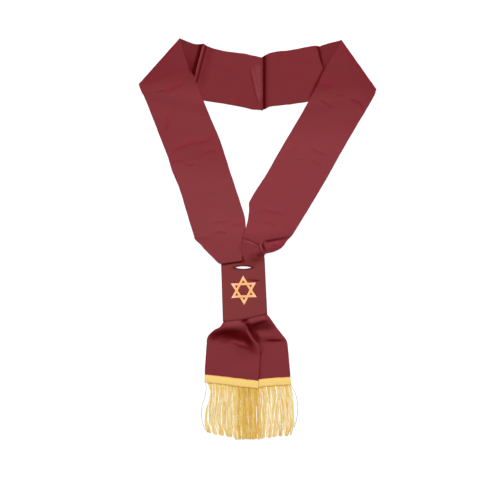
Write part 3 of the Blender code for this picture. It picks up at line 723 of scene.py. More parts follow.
def tail_right_height(x, y, share):
    below = below_mouth(x, y)
    hollow = UNDER_RIDGE + BESIDE_RIDGE.at(-right_of(RIDGE, x, y))
    outside = OUTSIDE.at(below)
    keep = hollow * outside + 1 - outside
    tucked = TUCK.at(share) * TUCK_END.at(below)
    level = lip_height(below, 1 - share) * keep * (1 - RIGHT_DOWN.at(below)) - tucked
    return np.maximum(height(level) + crease_relief(CREASES_TAIL_RIGHT, x, y), height(TAIL_LOWEST))


def trim_left_height(x, y, share):
    return height(under_tail(x) * 2 + 1)


def trim_right_height(x, y, share):
    return np.full_like(x, height(1))


def surface_normals(grid):
    return unit(np.cross(np.gradient(grid, axis=1), np.gradient(grid, axis=0)))


def add_object(name, data):
    piece = bpy.data.objects.new(name, data)
    bpy.context.scene.collection.objects.link(piece)
    return piece


def build_mesh(name, points, faces, material, uv=None, paints=None):
    mesh = bpy.data.meshes.new(name)
    mesh.from_pydata(points.tolist(), [], faces.tolist() if hasattr(faces, "tolist") else faces)
    mesh.shade_smooth()
    if uv is not None:
        corner = np.empty(len(mesh.loops), dtype=np.int32)
        mesh.loops.foreach_get("vertex_index", corner)
        layer = mesh.uv_layers.new(name="lay")
        layer.data.foreach_set("uv", uv[corner].astype(np.float32).ravel())
    for paint, values in (paints or {}).items():
        attribute = mesh.attributes.new(paint, "FLOAT", "POINT")
        attribute.data.foreach_set("value", values.astype(np.float32).ravel())
    mesh.materials.append(material)
    return add_object(name, mesh)


def grid_faces(rows, cols, start=0, flip=False):
    index = np.arange(rows * cols).reshape(rows, cols) + start
    a, b, c, d = index[:-1, :-1], index[:-1, 1:], index[1:, 1:], index[1:, :-1]
    quads = np.stack((a, b, c, d), axis=2).reshape(-1, 4)
    return quads[:, ::-1] if flip else quads


def loop_faces(index):
    """Faces of a tube: each row of index numbers the points of one ring round it."""
    following = np.roll(index, -1, axis=1)
    corners = (index[:-1], following[:-1], following[1:], index[1:])
    return np.stack(corners, axis=2).reshape(-1, 4)


def perimeter(rows, cols):
    index = np.arange(rows * cols).reshape(rows, cols)
    return np.concatenate((index[0, :-1], index[:-1, -1], index[-1, :0:-1], index[:0:-1, 0]))


# A sheet's rounded rim stands out by this share of its thickness
RIM_SHARE = 0.45


def shell(name, grid, material, thick=SHEET, paints=None):
    """A closed thin sheet about a grid of points, with a rounded rim."""
    rows, cols = grid.shape[:2]
    normal = surface_normals(grid)
    front, back = grid + normal * thick / 2, grid - normal * thick / 2
    loop = perimeter(rows, cols)
    flat = grid.reshape(-1, 3)
    ring = flat[loop]
    tangent = unit(np.roll(ring, -1, axis=0) - np.roll(ring, 1, axis=0))
    outward = np.cross(tangent, normal.reshape(-1, 3)[loop])
    if np.sum((ring - flat.mean(axis=0)) * outward) < 0:
        outward = -outward
    rim = ring + outward * thick * RIM_SHARE
    count = rows * cols
    points = np.concatenate((front.reshape(-1, 3), back.reshape(-1, 3), rim))
    follow = np.roll(np.arange(len(loop)), -1)
    rim_index = 2 * count + np.arange(len(loop))
    upper = np.stack((loop, loop[follow], rim_index[follow], rim_index), axis=1)
    lower = np.stack((rim_index, rim_index[follow], loop[follow] + count, loop + count), axis=1)
    faces = np.concatenate((grid_faces(rows, cols), grid_faces(rows, cols, count, True),
                            upper[:, ::-1], lower[:, ::-1]))
    v = distances(grid[:, cols // 2])
    step_across = np.linalg.norm(np.diff(grid, axis=1), axis=2)
    u = np.concatenate((np.zeros((rows, 1)), np.cumsum(step_across, axis=1)), axis=1)
    uv = np.stack((u, np.broadcast_to(v[:, None], u.shape)), axis=2).reshape(-1, 2)
    full = {}
    for paint, values in (paints or {}).items():
        values = values.ravel()
        full[paint] = np.concatenate((values, values, values[loop]))
    return build_mesh(name, points, faces, material, np.concatenate((uv, uv, uv[loop])), full)


def lift(grid):
    """The same slight lift for every layer, and a slightly uneven edge."""
    x, y = plan(grid)
    grid[..., 2] += bed(x, y)
    grid[..., 0] += EDGE_DRIFT * drift(x, y, 0.021, 11)
    grid[..., 1] += EDGE_DRIFT * drift(x, y, 0.023, 12)
    return grid


# Materials

MAROON = (0.170, 0.0270, 0.0320, 1)
# A redder tone: at random, and painted where creases and edges lose the sheen
RED = (0.215, 0.0165, 0.0310, 1)
BROWN = (0.182, 0.0380, 0.0390, 1)
# Painted shade; DARK also darkens the grain at random
DEEP = (0.100, 0.0030, 0.0060, 1)
DARK = (0.050, 0.0004, 0.0010, 1)
# Painted sheen
PALE = (0.270, 0.0640, 0.0720, 1)
KEEPER_MAROON = (0.197, 0.0368, 0.0362, 1)
BRAID_DEEP = (0.74, 0.51, 0.150, 1)
BRAID_LIGHT = (0.80, 0.61, 0.235, 1)
BRAID_GRAIN = (0.62, 0.38, 0.09, 1)
BRAID_EDGE = (0.62, 0.28, 0.06, 1)
BRAID_SHEEN = (1, 0.9, 0.7, 1)
FRINGE_SHADES = ((0.80, 0.69, 0.310, 1), (0.74, 0.55, 0.170, 1),
                 (0.78, 0.48, 0.090, 1), (0.58, 0.34, 0.050, 1))
FRINGE_SHEEN = (1, 0.92, 0.75, 1)
# Painted shade: the gold stray thread is coloured a shaded grey
STRAY_GREY = (0.29, 0.28, 0.19, 1)
STAR_LIGHT = (1.0, 0.57, 0.27, 1)
STAR_DEEP = (0.80, 0.34, 0.11, 1)
# Painted highlight at the star's tips
SATIN_TIP_HIGHLIGHT = (1.0, 0.56, 0.40, 1)
SATIN_SHEEN = (1, 0.9, 0.8, 1)
STITCH_LIGHT = (0.11, 0.014, 0.015, 1)
STITCH_DEEP = (0.04, 0.003, 0.004, 1)


class Nodes:
    """A material, with short ways to add and link its nodes."""

    def __init__(self, name):
        self.material = bpy.data.materials.new(name)
        self.material.use_nodes = True
        self.tree = self.material.node_tree
        self.shader = self.tree.nodes["Principled BSDF"]

    def add(self, kind, **values):
        node = self.tree.nodes.new(kind)
        for key, value in values.items():
            if key in node.inputs:
                node.inputs[key].default_value = value
            else:
                setattr(node, key, value)
        return node

    def link(self, source, target):
        self.tree.links.new(source, target)

    def feed(self, socket, value):
        """A value, or the output of another node, goes into a socket."""
        if isinstance(value, (int, float, tuple)):
            socket.default_value = value
        else:
            self.link(value, socket)

    def calculate(self, operation, first, second):
        node = self.add("ShaderNodeMath", operation=operation)
        self.feed(node.inputs[0], first)
        self.feed(node.inputs[1], second)
        return node.outputs[0]

    def times(self, first, second):
        return self.calculate("MULTIPLY", first, second)

    def plus(self, first, second):
        return self.calculate("ADD", first, second)

    def mix(self, share, first, second):
        """The first colour with a share of the second one."""
        node = self.add("ShaderNodeMix", data_type="RGBA")
        self.feed(node.inputs[0], share)
        self.feed(node.inputs[6], first)
        self.feed(node.inputs[7], second)
        return node.outputs[2]

    def paint(self, name):
        return self.add("ShaderNodeAttribute", attribute_name=name).outputs["Fac"]

    def noise(self, scale, detail):
        node = self.add("ShaderNodeTexNoise", Scale=scale, Detail=detail)
        self.link(self.add("ShaderNodeTexCoord").outputs["Object"], node.inputs["Vector"])
        return node.outputs["Fac"]

    def uv(self):
        """Distance across a piece and along it, in metres."""
        node = self.add("ShaderNodeUVMap", uv_map="lay")
        split = self.add("ShaderNodeSeparateXYZ")
        self.link(node.outputs[0], split.inputs[0])
        return split.outputs[0], split.outputs[1]

    def wave(self, value, spacing):
        """0 to 1 and back once in each spacing."""
        wave = self.calculate("SINE", self.times(value, math.tau / spacing), 0.0)
        return self.plus(self.times(wave, 0.5), 0.5)

    def bump(self, heights, distance, strength):
        node = self.add("ShaderNodeBump", Strength=strength, Distance=distance)
        self.link(heights, node.inputs["Height"])
        self.link(node.outputs[0], self.shader.inputs["Normal"])

    def surface(self, colour, roughness, specular, sheen=0.0, sheen_tint=(1, 1, 1, 1)):
        self.feed(self.shader.inputs["Base Color"], colour)
        self.shader.inputs["Roughness"].default_value = roughness
        self.shader.inputs["Sheen Weight"].default_value = sheen
        self.shader.inputs["Sheen Roughness"].default_value = 0.45
        self.shader.inputs["Sheen Tint"].default_value = sheen_tint
        self.shader.inputs["Specular IOR Level"].default_value = specular
        return self.material


def faille(name, base, red):
    """Ribbed ribbon: fine ribs from edge to edge, painted redder where creases lose the sheen."""
    nodes = Nodes(name)
    u, v = nodes.uv()
    rib = nodes.wave(v, RIB)
    thread = nodes.wave(u, RIB * 0.42)
    cloud = nodes.noise(26.0, 4.0)
    blotch = nodes.noise(11.0, 3.0)
    grain = nodes.noise(900.0, 2.0)
    hollow = nodes.paint("hollow")
    colour = nodes.mix(nodes.times(blotch, 0.60), base, BROWN)
    colour = nodes.mix(nodes.times(cloud, 0.35), colour, red)
    # Painted light: red where the sheen falls away, shade in hollows and shadows, sheen on ridges
    colour = nodes.mix(nodes.paint("crease"), colour, red)
    colour = nodes.mix(hollow, colour, DEEP)
    colour = nodes.mix(nodes.times(hollow, hollow), colour, DARK)
    colour = nodes.mix(nodes.paint("painted_sheen"), colour, PALE)
    colour = nodes.mix(nodes.times(grain, 0.22), colour, DARK)
    relief = nodes.plus(nodes.plus(rib, nodes.times(thread, 0.25)), nodes.times(grain, 0.5))
    nodes.bump(relief, 0.00012, 0.6)
    return nodes.surface(colour, 0.60, 0.02)


def woven_braid(name):
    """Trim: rows of fine cords, darker at its upper edge."""
    nodes = Nodes(name)
    u, v = nodes.uv()
    weave = nodes.times(nodes.wave(v, 0.0011), nodes.wave(u, 0.0023))
    grain = nodes.noise(700.0, 2.0)
    colour = nodes.mix(nodes.times(weave, 0.45), BRAID_DEEP, BRAID_LIGHT)
    colour = nodes.mix(nodes.times(grain, 0.25), colour, BRAID_GRAIN)
    colour = nodes.mix(nodes.paint("crease"), colour, BRAID_EDGE)
    nodes.bump(nodes.plus(weave, nodes.times(grain, 0.3)), 0.0003, 0.6)
    return nodes.surface(colour, 0.5, 0.25, 0.1, BRAID_SHEEN)


def thread_gold(name):
    """Fringe thread: a fine twist, a shade of its own for each strand, the stray painted a shaded grey."""
    nodes = Nodes(name)
    u, v = nodes.uv()
    twist = nodes.wave(nodes.plus(v, nodes.times(u, 0.0002)), 0.0008)
    ramp = nodes.add("ShaderNodeValToRGB")
    stops = ramp.color_ramp.elements
    while len(stops) < len(FRINGE_SHADES):
        stops.new(0.5)
    for i, shade in enumerate(FRINGE_SHADES):
        stops[i].position = i / (len(FRINGE_SHADES) - 1)
        stops[i].color = shade
    nodes.link(nodes.paint("shade"), ramp.inputs[0])
    colour = nodes.mix(nodes.times(twist, 0.18), ramp.outputs[0], FRINGE_SHADES[-1])
    colour = nodes.mix(nodes.paint("stray"), colour, STRAY_GREY)
    nodes.bump(twist, 0.0001, 0.4)
    return nodes.surface(colour, 0.45, 0.15, 0.05, FRINGE_SHEEN)


def satin(name, light, deep, spacing, specular):
    """Satin stitch: fine threads side by side across a bar, with a painted highlight at the tips."""
    nodes = Nodes(name)
    u, v = nodes.uv()
    thread = nodes.wave(v, spacing)
    shine = nodes.noise(500.0, 2.0)
    colour = nodes.mix(nodes.times(thread, 0.6), deep, light)
    colour = nodes.mix(nodes.times(shine, 0.3), colour, deep)
    colour = nodes.mix(nodes.paint("tip"), colour, SATIN_TIP_HIGHLIGHT)
    nodes.bump(thread, 0.00015, 0.7)
    return nodes.surface(colour, 0.38, specular, 0.3 * specular, SATIN_SHEEN)


ribbon_material = faille("ribbon_faille", MAROON, RED)
keeper_material = faille("keeper_faille", KEEPER_MAROON, MAROON)
braid_material = woven_braid("braid_weave")
fringe_material = thread_gold("fringe_thread")
star_material = satin("star_satin", STAR_LIGHT, STAR_DEEP, 0.0005, 0.5)
slit_material = satin("slit_stitch", STITCH_LIGHT, STITCH_DEEP, 0.0004, 0.1)


def ride(piece, slot, *nodes):
    """A piece lies on the one body and replaces the nodes that are named; slot is not used."""
    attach(piece, "root")
    if nodes:
        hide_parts(*nodes)


# Neck band

# Painted shade on the neck band: all over, by its seams, at its back seam, by the right front
NECK_SHADE = 0.20
LEFT_SEAM_SHADE = Band(0.75, 0.0064, 0.0018)
LEFT_SEAM_HAZE = Band(0.20, 0.0160, 0.0080)
LEFT_SEAM_RANGE = Step(1, 0.28, 0.30)
RIGHT_SEAM_LINE = ((112.4, 362), (116.2, 352), (117.2, 344), (120.8, 333), (124.0, 326), (127.0, 317),
                   (131, 290))
RIGHT_SEAM_SHADE = Band(0.95, 0, 0.0024)
RIGHT_FRONT_LINE = ((127, 323), (117, 303), (109, 288), (101, 268))
RIGHT_FRONT_SHADE = Band(0.75, 0, 0.0034)
BACK_SEAM_SHADE = Band(0.92, 0.0122, 0.0031)
BACK_SEAM_HAZE = Step(0.34, 0.0260, 0.0120)


def cloth_paints(creases, grid, shade=0.0, extra_red=0.0, sheen_lines=()):
    """A ribbon's paints: red where creases and edges lose the sheen, painted shade, painted sheen."""
    x, y = plan(grid)
    red, dark = crease_paint(creases, x, y)
    share = np.broadcast_to(np.linspace(0, 1, grid.shape[1])[None, :], x.shape)
    edges = edge_red(share) * uneven(x, y, 0.3, 0.05, 9)
    red = np.maximum(np.maximum(red, edges), extra_red)
    hollow = cover(dark, np.clip(shade, 0, 1))
    return {"crease": np.clip(red, 0, 1), "hollow": np.clip(hollow, 0, 1), "painted_sheen": sheen_paint(sheen_lines, x, y)}


def make_ribbon(node, grid, paints):
    """The shell of a ribbon, in place of its solid."""
    piece = shell("ribbon_" + node, lift(grid), ribbon_material, paints=paints)
    ride(piece, "ribbon", node)
    return piece


def make_necks():
    grid = laid(NECK_LEFT, neck_left_height, RIBBON_COLUMNS)
    x, y = plan(grid)
    seam = right_of(SEAM_LEFT, x, y)
    # Painted shade beside the seam, and painted sheen on the seam's lips
    beside = (LEFT_SEAM_SHADE.at(seam) + LEFT_SEAM_HAZE.at(seam)) * LEFT_SEAM_RANGE.at(y)
    paints = cloth_paints(CREASES_NECK_LEFT, grid, cover(beside, NECK_SHADE), sheen_lines=SHEEN_LINES_NECK_LEFT)
    left = make_ribbon("neck_left", grid, paints)
    grid = laid(NECK_RIGHT, neck_right_height, RIBBON_COLUMNS)
    x, y = plan(grid)
    seam, _ = near_line(RIGHT_SEAM_LINE, x, y)
    front, _ = near_line(RIGHT_FRONT_LINE, x, y)
    # Painted shade at the back seam, beside the right seam and along the right front's edge
    back = np.clip(BACK_SEAM_SHADE.at(x) + BACK_SEAM_HAZE.at(x), 0, 1)
    shade = cover(back, RIGHT_SEAM_SHADE.at(seam), RIGHT_FRONT_SHADE.at(front), NECK_SHADE)
    right = make_ribbon("neck_right", grid, cloth_paints(CREASES_NECK_RIGHT, grid, shade))


# Fronts

# Under its tip the left front turns back, a little narrower, and goes on into the keeper
TIP_BACK = 0.0050
INNER_WIDTH = 0.94
TIP_TURN = 0.0016
INNER_LENGTH = 0.0046

# Painted light on the two fronts: shade on the mitres, on the parts under the neck band and at
# the pleat, sheen down the straps, and a redder tone where the sheen falls away on the right
# strap and the wing
LEFT_MITRE_SHADE = Step(0.28, 0.270, 0.305)
LEFT_PALE = Step(0.20, 0.165, 0.105)
LEFT_PALE_LESS = Step(0.4, 0.02, -0.01)
LEFT_UNDER_SHADE = 0.42
LEFT_UNDER_SEAM = Band(0.97, -0.0024, 0.0036)
LEFT_UNDER_DEEPER = Step(0.35, 0.355, 0.300)
RIGHT_MITRE_SHADE = Step(0.24, 0.250, 0.290)
RIGHT_UNDER_SHADE = 0.36
RIGHT_UNDER_DEEPER = Step(0.30, 0.345, 0.300)
RIGHT_PALE = Step(0.20, 0.23, 0.17)
RIGHT_RED = (Step(0.10, 0.24, 0.19), Step(0.20, 0.19, 0.12))
STRAP = Step(1, 0.0, 0.02)
PLEAT_TOP = 0.03
PLEAT_SHADE = Band(0.62, 0, 0.0019)
PLEAT_SHADE_RANGE = Span(1, 0.0130, 0.0170, 0.0500, 0.0620)
PLEAT_LINE = Band(0.30, 0.0012, 0.0012)
PLEAT_LINE_RANGE = Span(1, -0.0300, -0.0200, 0.0020, 0.0060)
WING_RED = Band(0.60, -0.0100, 0.0060)
WING_RED_START = Step(1, 0.0160, 0.0260)


def make_front_left():
    under = laid(UNDER_LEFT, flat_height, RIBBON_COLUMNS)
    front = laid(FRONT_LEFT, front_left_height, RIBBON_COLUMNS)
    front[0, :, 2] = height(FOLD_LEVELS)
    mitre = half_turn(under[-1], FOLD_RADIUS, 1)
    tip = half_turn(front[-1], -LEVEL / 2, -1)
    below = front[-1:] - np.array((0, 0, LEVEL))
    back = below + np.array((0, TIP_BACK, 0))
    inner = back.copy()
    inner[..., 0] = back[0, -1, 0] + (back[..., 0] - back[0, -1, 0]) * INNER_WIDTH
    turn = half_turn(inner[0], -TIP_TURN, 1)
    inside = inner - np.array((0, 0, 2 * TIP_TURN))
    end = inside - np.array((0, INNER_LENGTH, 0))
    grid = np.concatenate((under, mitre, front, tip, below, back, turn, inside, end))
    x, y = plan(grid)
    # Painted shade on the mitre and in a patch, and painted sheen down the strap
    shade = cover(LEFT_MITRE_SHADE.at(y), patches(HOLLOWS_FRONT_LEFT, x, y))
    paints = cloth_paints(CREASES_LEFT, grid, shade)
    paints["painted_sheen"] = LEFT_PALE.at(y) * (1 - LEFT_PALE_LESS.at(y))
    count = len(under)
    # Painted shade on the part under the neck band, deepest beside the seam
    seam = right_of(SEAM_LEFT, x[:count], y[:count])
    depth = LEFT_UNDER_SEAM.at(seam) + LEFT_UNDER_SHADE + LEFT_UNDER_DEEPER.at(y[:count])
    paints["hollow"][:count] = np.clip(depth, 0, 1)
    paints["crease"][:count] = 0
    piece = make_ribbon("front_left", grid, paints)


def make_front_right():
    under = laid(UNDER_RIGHT, flat_height, FINE_COLUMNS)
    front = laid(FRONT_RIGHT, front_right_height, FINE_COLUMNS, FINE_CELL)
    front[0, :, 2] = height(FOLD_LEVELS)
    mitre = half_turn(under[-1], FOLD_RADIUS, -1)
    grid = np.concatenate((under, mitre, front))
    x, y = plan(grid)
    above = y - polyline_y(PLEAT, x)
    # Painted shade along the pleat, in the panel's hollows and on the mitre
    pleat = PLEAT_SHADE.at(above) * PLEAT_SHADE_RANGE.at(x)
    line = PLEAT_LINE.at(above) * PLEAT_LINE_RANGE.at(x)
    panel = patches(HOLLOWS_PANEL, x, y) * (y < PLEAT_TOP)
    shade = cover(pleat, line, panel, RIGHT_MITRE_SHADE.at(y))
    # Painted red where the wing and the strap lose the sheen, and painted sheen down the strap
    strap = STRAP.at(y)
    wing = WING_RED.at(above) * WING_RED_START.at(x)
    red = np.maximum(wing, sum(step.at(y) for step in RIGHT_RED) * strap)
    paints = cloth_paints(CREASES_RIGHT, grid, shade, red, SHEEN_LINES_PANEL)
    paints["painted_sheen"] = np.maximum(paints["painted_sheen"], RIGHT_PALE.at(y) * strap)
    # Painted shade on the part under the neck band
    count = len(under)
    paints["hollow"][:count] = RIGHT_UNDER_SHADE + RIGHT_UNDER_DEEPER.at(y[:count])
    paints["crease"][:count] = 0
    piece = make_ribbon("front_right", grid, paints)


# Keeper

UP = np.array((0, 0, 1.0))

# The keeper's loop: rows down it, and steps along each flat and round each side. The same
# for the gathered ribbon inside it, with its ends as shares of the way down, its gaps to the
# keeper, its lengthwise folds and the uv steps round it and down it.
KEEPER_ROWS = 84
KEEPER_STEPS = (62, 10)
CORE_ROWS = 48
CORE_STEPS = (56, 8)
CORE_ENDS = (0.03, 0.97)
CORE_GAP = 0.0006
CORE_GAP_BELOW = 0.0004
CORE_FOLDS = 13
CORE_FOLD_DEPTH = 0.18
CORE_TWIST = 1.5
# Painted shade all over the gathered ribbon inside the keeper
CORE_SHADE = 0.3
CORE_LAY = (0.003, 0.1)

# How the keeper's front bulges and sinks at its two mouths
KEEPER_BULGE = 0.0006
KEEPER_MIDDLE_Y = -0.09
MOUTH_FALL = 0.0009
TOP_FALL_LESS = Step(0.0007, -0.0300, -0.0220)
MOUTH_WIDTH = 0.11
MOUTH_ROUND = Step(1, 0.0, 0.004)
SAG_START = Step(1, 0.80, 1.0)

# Painted shade on the keeper: a shadow under the left front's tip, in hollows, by the slit's tail
# stitches, at its mouths and on its sides, which are painted redder too; and darker round the slit
TIP_LINE = ((-70, -46.2), (-50, -43.8), (-30, -40.8))
TIP_SHADE = Band(0.97, 0, 0.0021)
TIP_SHADE_END = Step(1, -0.0270, -0.0300)
HOLLOWS_KEEPER = (
    Patch(0.44, 0, -35.0, 15, 6.0, 6),
    Patch(0.30, -14, -43, 20, 9.0, 5),
    Patch(0.60, -4.5, -75.9, 8.0, 1.3, -3),
    Patch(0.60, -26.5, -39.0, 3.0, 4.0, 0),
)
SLIT_TAIL_LINE = ((-46.0, -52.4), (-42.0, -51.9))
SLIT_TAIL_SHADE = Band(0.5, 0, 0.0012)
SLIT_RING_LENGTH = SLIT_LENGTH / 2 + 0.0016
SLIT_RING_WIDTH = SLIT_WIDTH / 2 + 0.0012
SLIT_RING_DARK = Band(0.5, 1, 0.28)
MOUTH_SHADES = (0.10, 0.30)
MOUTH_SHADE_WIDTH = Step(1, 0.0030, 0.0)
SIDE_RED = Band(0.5, KEEPER_HEIGHT / 2, 0.0022)
SIDE_SHADE = Step(0.6, KEEPER_HEIGHT * 0.85, KEEPER_HEIGHT * 0.5)
KEEPER_FACE = Step(1, KEEPER_HEIGHT * 0.45, KEEPER_HEIGHT - REST - 0.0001)


def keeper_ring(down, low, high, inset, flat_steps, arc_steps):
    """Points round the keeper at a share of its way down, between two heights."""
    left = KEEPER_TOP_LEFT + (KEEPER_BOTTOM_LEFT - KEEPER_TOP_LEFT) * down
    right = KEEPER_TOP_RIGHT + (KEEPER_BOTTOM_RIGHT - KEEPER_TOP_RIGHT) * down
    radius = (high - low) / 2
    along = unit(right - left)
    start = left + along * (inset + radius)
    end = right - along * (inset + radius)
    points = []
    for first, last, out, z, side in ((start, end, along, low, 1), (end, start, -along, high, -1)):
        for i in range(flat_steps):
            points.append(first + (last - first) * i / flat_steps + UP * z)
        for i in range(arc_steps):
            angle = math.pi * i / arc_steps
            rise = side * radius * (1 - math.cos(angle))
            points.append(last + out * radius * math.sin(angle) + UP * (z + rise))
    return np.array(points)


def tube_normals(grid):
    """Normals that point out of a loop."""
    around = (np.roll(grid, -1, axis=1) - np.roll(grid, 1, axis=1)) / 2
    normal = unit(np.cross(around, np.gradient(grid, axis=0)))
    outward = np.sum((grid - grid.mean(axis=1, keepdims=True)) * normal) > 0
    return normal if outward else -normal


def tube_shell(name, grid, material, thick, paints):
    """A closed wall about a grid that runs round a loop in its second direction."""
    rows, cols = grid.shape[:2]
    normal = tube_normals(grid)
    outer = grid + normal * thick / 2
    inner = grid - normal * thick / 2
    count = rows * cols
    index = np.arange(count).reshape(rows, cols)
    quads = loop_faces(index)
    first = loop_faces(np.stack((index[0], index[0] + count)))
    last = loop_faces(np.stack((index[-1], index[-1] + count)))
    faces = np.concatenate((quads, quads[:, ::-1] + count, first[:, ::-1], last))
    v = distances(grid[:, 0])
    around = np.linalg.norm(np.roll(grid, -1, axis=1) - grid, axis=2)
    u = np.concatenate((np.zeros((rows, 1)), np.cumsum(around, axis=1)[:, :-1]), axis=1)
    # The keeper's ribbon runs round it, so its ribs run from mouth to mouth
    uv = np.stack((np.broadcast_to(v[:, None], u.shape), u), axis=2).reshape(-1, 2)
    points = np.concatenate((outer.reshape(-1, 3), inner.reshape(-1, 3)))
    full = {key: np.concatenate((value.ravel(), value.ravel())) for key, value in paints.items()}
    return build_mesh(name, points, faces, material, np.concatenate((uv, uv)), full)


def fix_normals(piece):
    """Turns the faces of a closed piece outwards."""
    bm = bmesh.new()
    bm.from_mesh(piece.data)
    bmesh.ops.recalc_face_normals(bm, faces=bm.faces)
    bm.to_mesh(piece.data)
    bm.free()


# The slit: points round its lens shape, how sharp its ends are, the width of its stitched
# edge, and the heights between which it is cut
SLIT_STEPS = 40
LENS_POWER = 0.6
SLIT_EDGE = 0.0014
CUT_REACH = (-0.02, 0.03)


def lens_ring(grow, count):
    """Points round the slit, grown outwards by a distance."""
    points = []
    for i in range(count):
        angle = math.tau * i / count
        along = (SLIT_LENGTH / 2 + grow) * math.cos(angle)
        across = (SLIT_WIDTH / 2 + grow) * math.sin(angle) * abs(math.sin(angle)) ** LENS_POWER
        points.append((SLIT_CENTRE[0] + along, SLIT_CENTRE[1] + across))
    return points


def cut_slit(piece):
    """Cuts the lens-shaped slit through a piece and applies the cut."""
    ring = lens_ring(0, SLIT_STEPS)
    points = [(x, y, z) for z in CUT_REACH for x, y in ring]
    index = np.arange(len(points)).reshape(2, SLIT_STEPS)
    faces = [index[0].tolist()[::-1], index[1].tolist()] + loop_faces(index).tolist()
    mesh = bpy.data.meshes.new("slit_tool")
    mesh.from_pydata(points, [], faces)
    tool = add_object("slit_tool", mesh)
    fix_normals(tool)
    hole = piece.modifiers.new("Slit", "BOOLEAN")
    hole.operation = "DIFFERENCE"
    hole.object = tool
    graph = bpy.context.evaluated_depsgraph_get()
    result = bpy.data.meshes.new_from_object(piece.evaluated_get(graph))
    piece.modifiers.clear()
    piece.data = result
    bpy.data.objects.remove(tool)


def keeper_shade(x, y, dark):
    """Painted shade on the keeper's face, and its darker ring round the slit, from 0 to 1."""
    tip, _ = near_line(TIP_LINE, x, y)
    slit, _ = near_line(SLIT_TAIL_LINE, x, y)
    ring = np.hypot((x - SLIT_CENTRE[0]) / SLIT_RING_LENGTH, (y - SLIT_CENTRE[1]) / SLIT_RING_WIDTH)
    under_tip = TIP_SHADE.at(tip) * TIP_SHADE_END.at(x)
    hollows = patches(HOLLOWS_KEEPER, x, y)
    return cover(dark, under_tip, hollows, SLIT_TAIL_SHADE.at(slit), SLIT_RING_DARK.at(ring))


def make_keeper():
    downs = np.linspace(0, 1, KEEPER_ROWS)
    rings = [keeper_ring(down, REST, KEEPER_HEIGHT - REST, REST, *KEEPER_STEPS) for down in downs]
    grid = np.stack(rings)
    x, y, z = (grid[..., i].copy() for i in range(3))
    upper = y > KEEPER_MIDDLE_Y
    face = KEEPER_FACE.at(z)
    mouth = np.minimum(downs, 1 - downs)[:, None] * MOUTH_WIDTH
    fall = MOUTH_FALL - TOP_FALL_LESS.at(x) * upper
    grid[..., 2] += crease_relief(CREASES_KEEPER, x, y) * face
    grid[..., 2] += face * KEEPER_BULGE * (1 + drift(x, y, 0.09, 21))
    grid[..., 2] -= face * fall * (1 - MOUTH_ROUND.at(mouth))
    grid[..., 1] -= mouth_sag(x) * SAG_START.at(downs)[:, None]
    # Painted light: red and shade along the crease, shade at the mouths, red and shade on the sides
    red, dark = crease_paint(CREASES_KEEPER, x, y)
    rim = np.where(upper, *MOUTH_SHADES) * MOUTH_SHADE_WIDTH.at(mouth)
    hollow = np.clip(keeper_shade(x, y, dark) * face + rim, 0, 1)
    paints = {"crease": np.maximum(red, SIDE_RED.at(z)), "hollow": np.maximum(hollow, SIDE_SHADE.at(z)),
              "painted_sheen": np.zeros_like(x)}
    keeper = tube_shell("keeper_wrap", grid, keeper_material, SHEET, paints)
    fix_normals(keeper)
    cut_slit(keeper)
    ride(keeper, "ribbon", "keeper")


def make_core():
    """The gathered ribbon inside the keeper: lengthwise folds in a rounded bundle."""
    downs = np.linspace(*CORE_ENDS, CORE_ROWS)
    low, high = CLOTH + CORE_GAP_BELOW, KEEPER_HEIGHT - CLOTH - CORE_GAP
    grid = np.stack([keeper_ring(down, low, high, CLOTH + CORE_GAP, *CORE_STEPS) for down in downs])
    count = grid.shape[1]
    around = np.arange(count)[None, :]
    middle = KEEPER_HEIGHT / 2
    waves = np.sin(around / count * math.tau * CORE_FOLDS + downs[:, None] * CORE_TWIST)
    grid[..., 2] = middle + (grid[..., 2] - middle) * (1 - CORE_FOLD_DEPTH + CORE_FOLD_DEPTH * waves)
    index = np.arange(CORE_ROWS * count).reshape(CORE_ROWS, count)
    faces = loop_faces(index).tolist() + [index[0].tolist()[::-1], index[-1].tolist()]
    u, v = np.broadcast_arrays(around * CORE_LAY[0], downs[:, None] * CORE_LAY[1])
    uv = np.stack((u, v), axis=2).reshape(-1, 2)
    points = grid.reshape(-1, 3)
    plain = np.zeros(len(points))
    paints = {"crease": plain, "hollow": plain + CORE_SHADE, "painted_sheen": plain}
    core = build_mesh("gathered_ribbon", points, faces, ribbon_material, uv, paints)
    fix_normals(core)
    cut_slit(core)
    ride(core, "ribbon", "keeper_core")


# The stitches round the slit, each a rounded stroke with so many sides and steps
STROKE_SIDES = 6
STROKE_STEPS = 5
STROKE_RADIUS = 0.00030
STROKE_CROWN = 0.35
STROKE_ENDS = 0.06
SLIT_STITCHES = 130
STITCH_TOP = KEEPER_HEIGHT + 0.0010
STITCH_FALL = 0.0001
TAIL_STITCHES = 3
TAIL_STITCH_STEP = 0.0009
TAIL_STITCH_TOP = (-0.0435, -0.0512)
TAIL_STITCH_FOOT = (-0.0437, -0.0530)


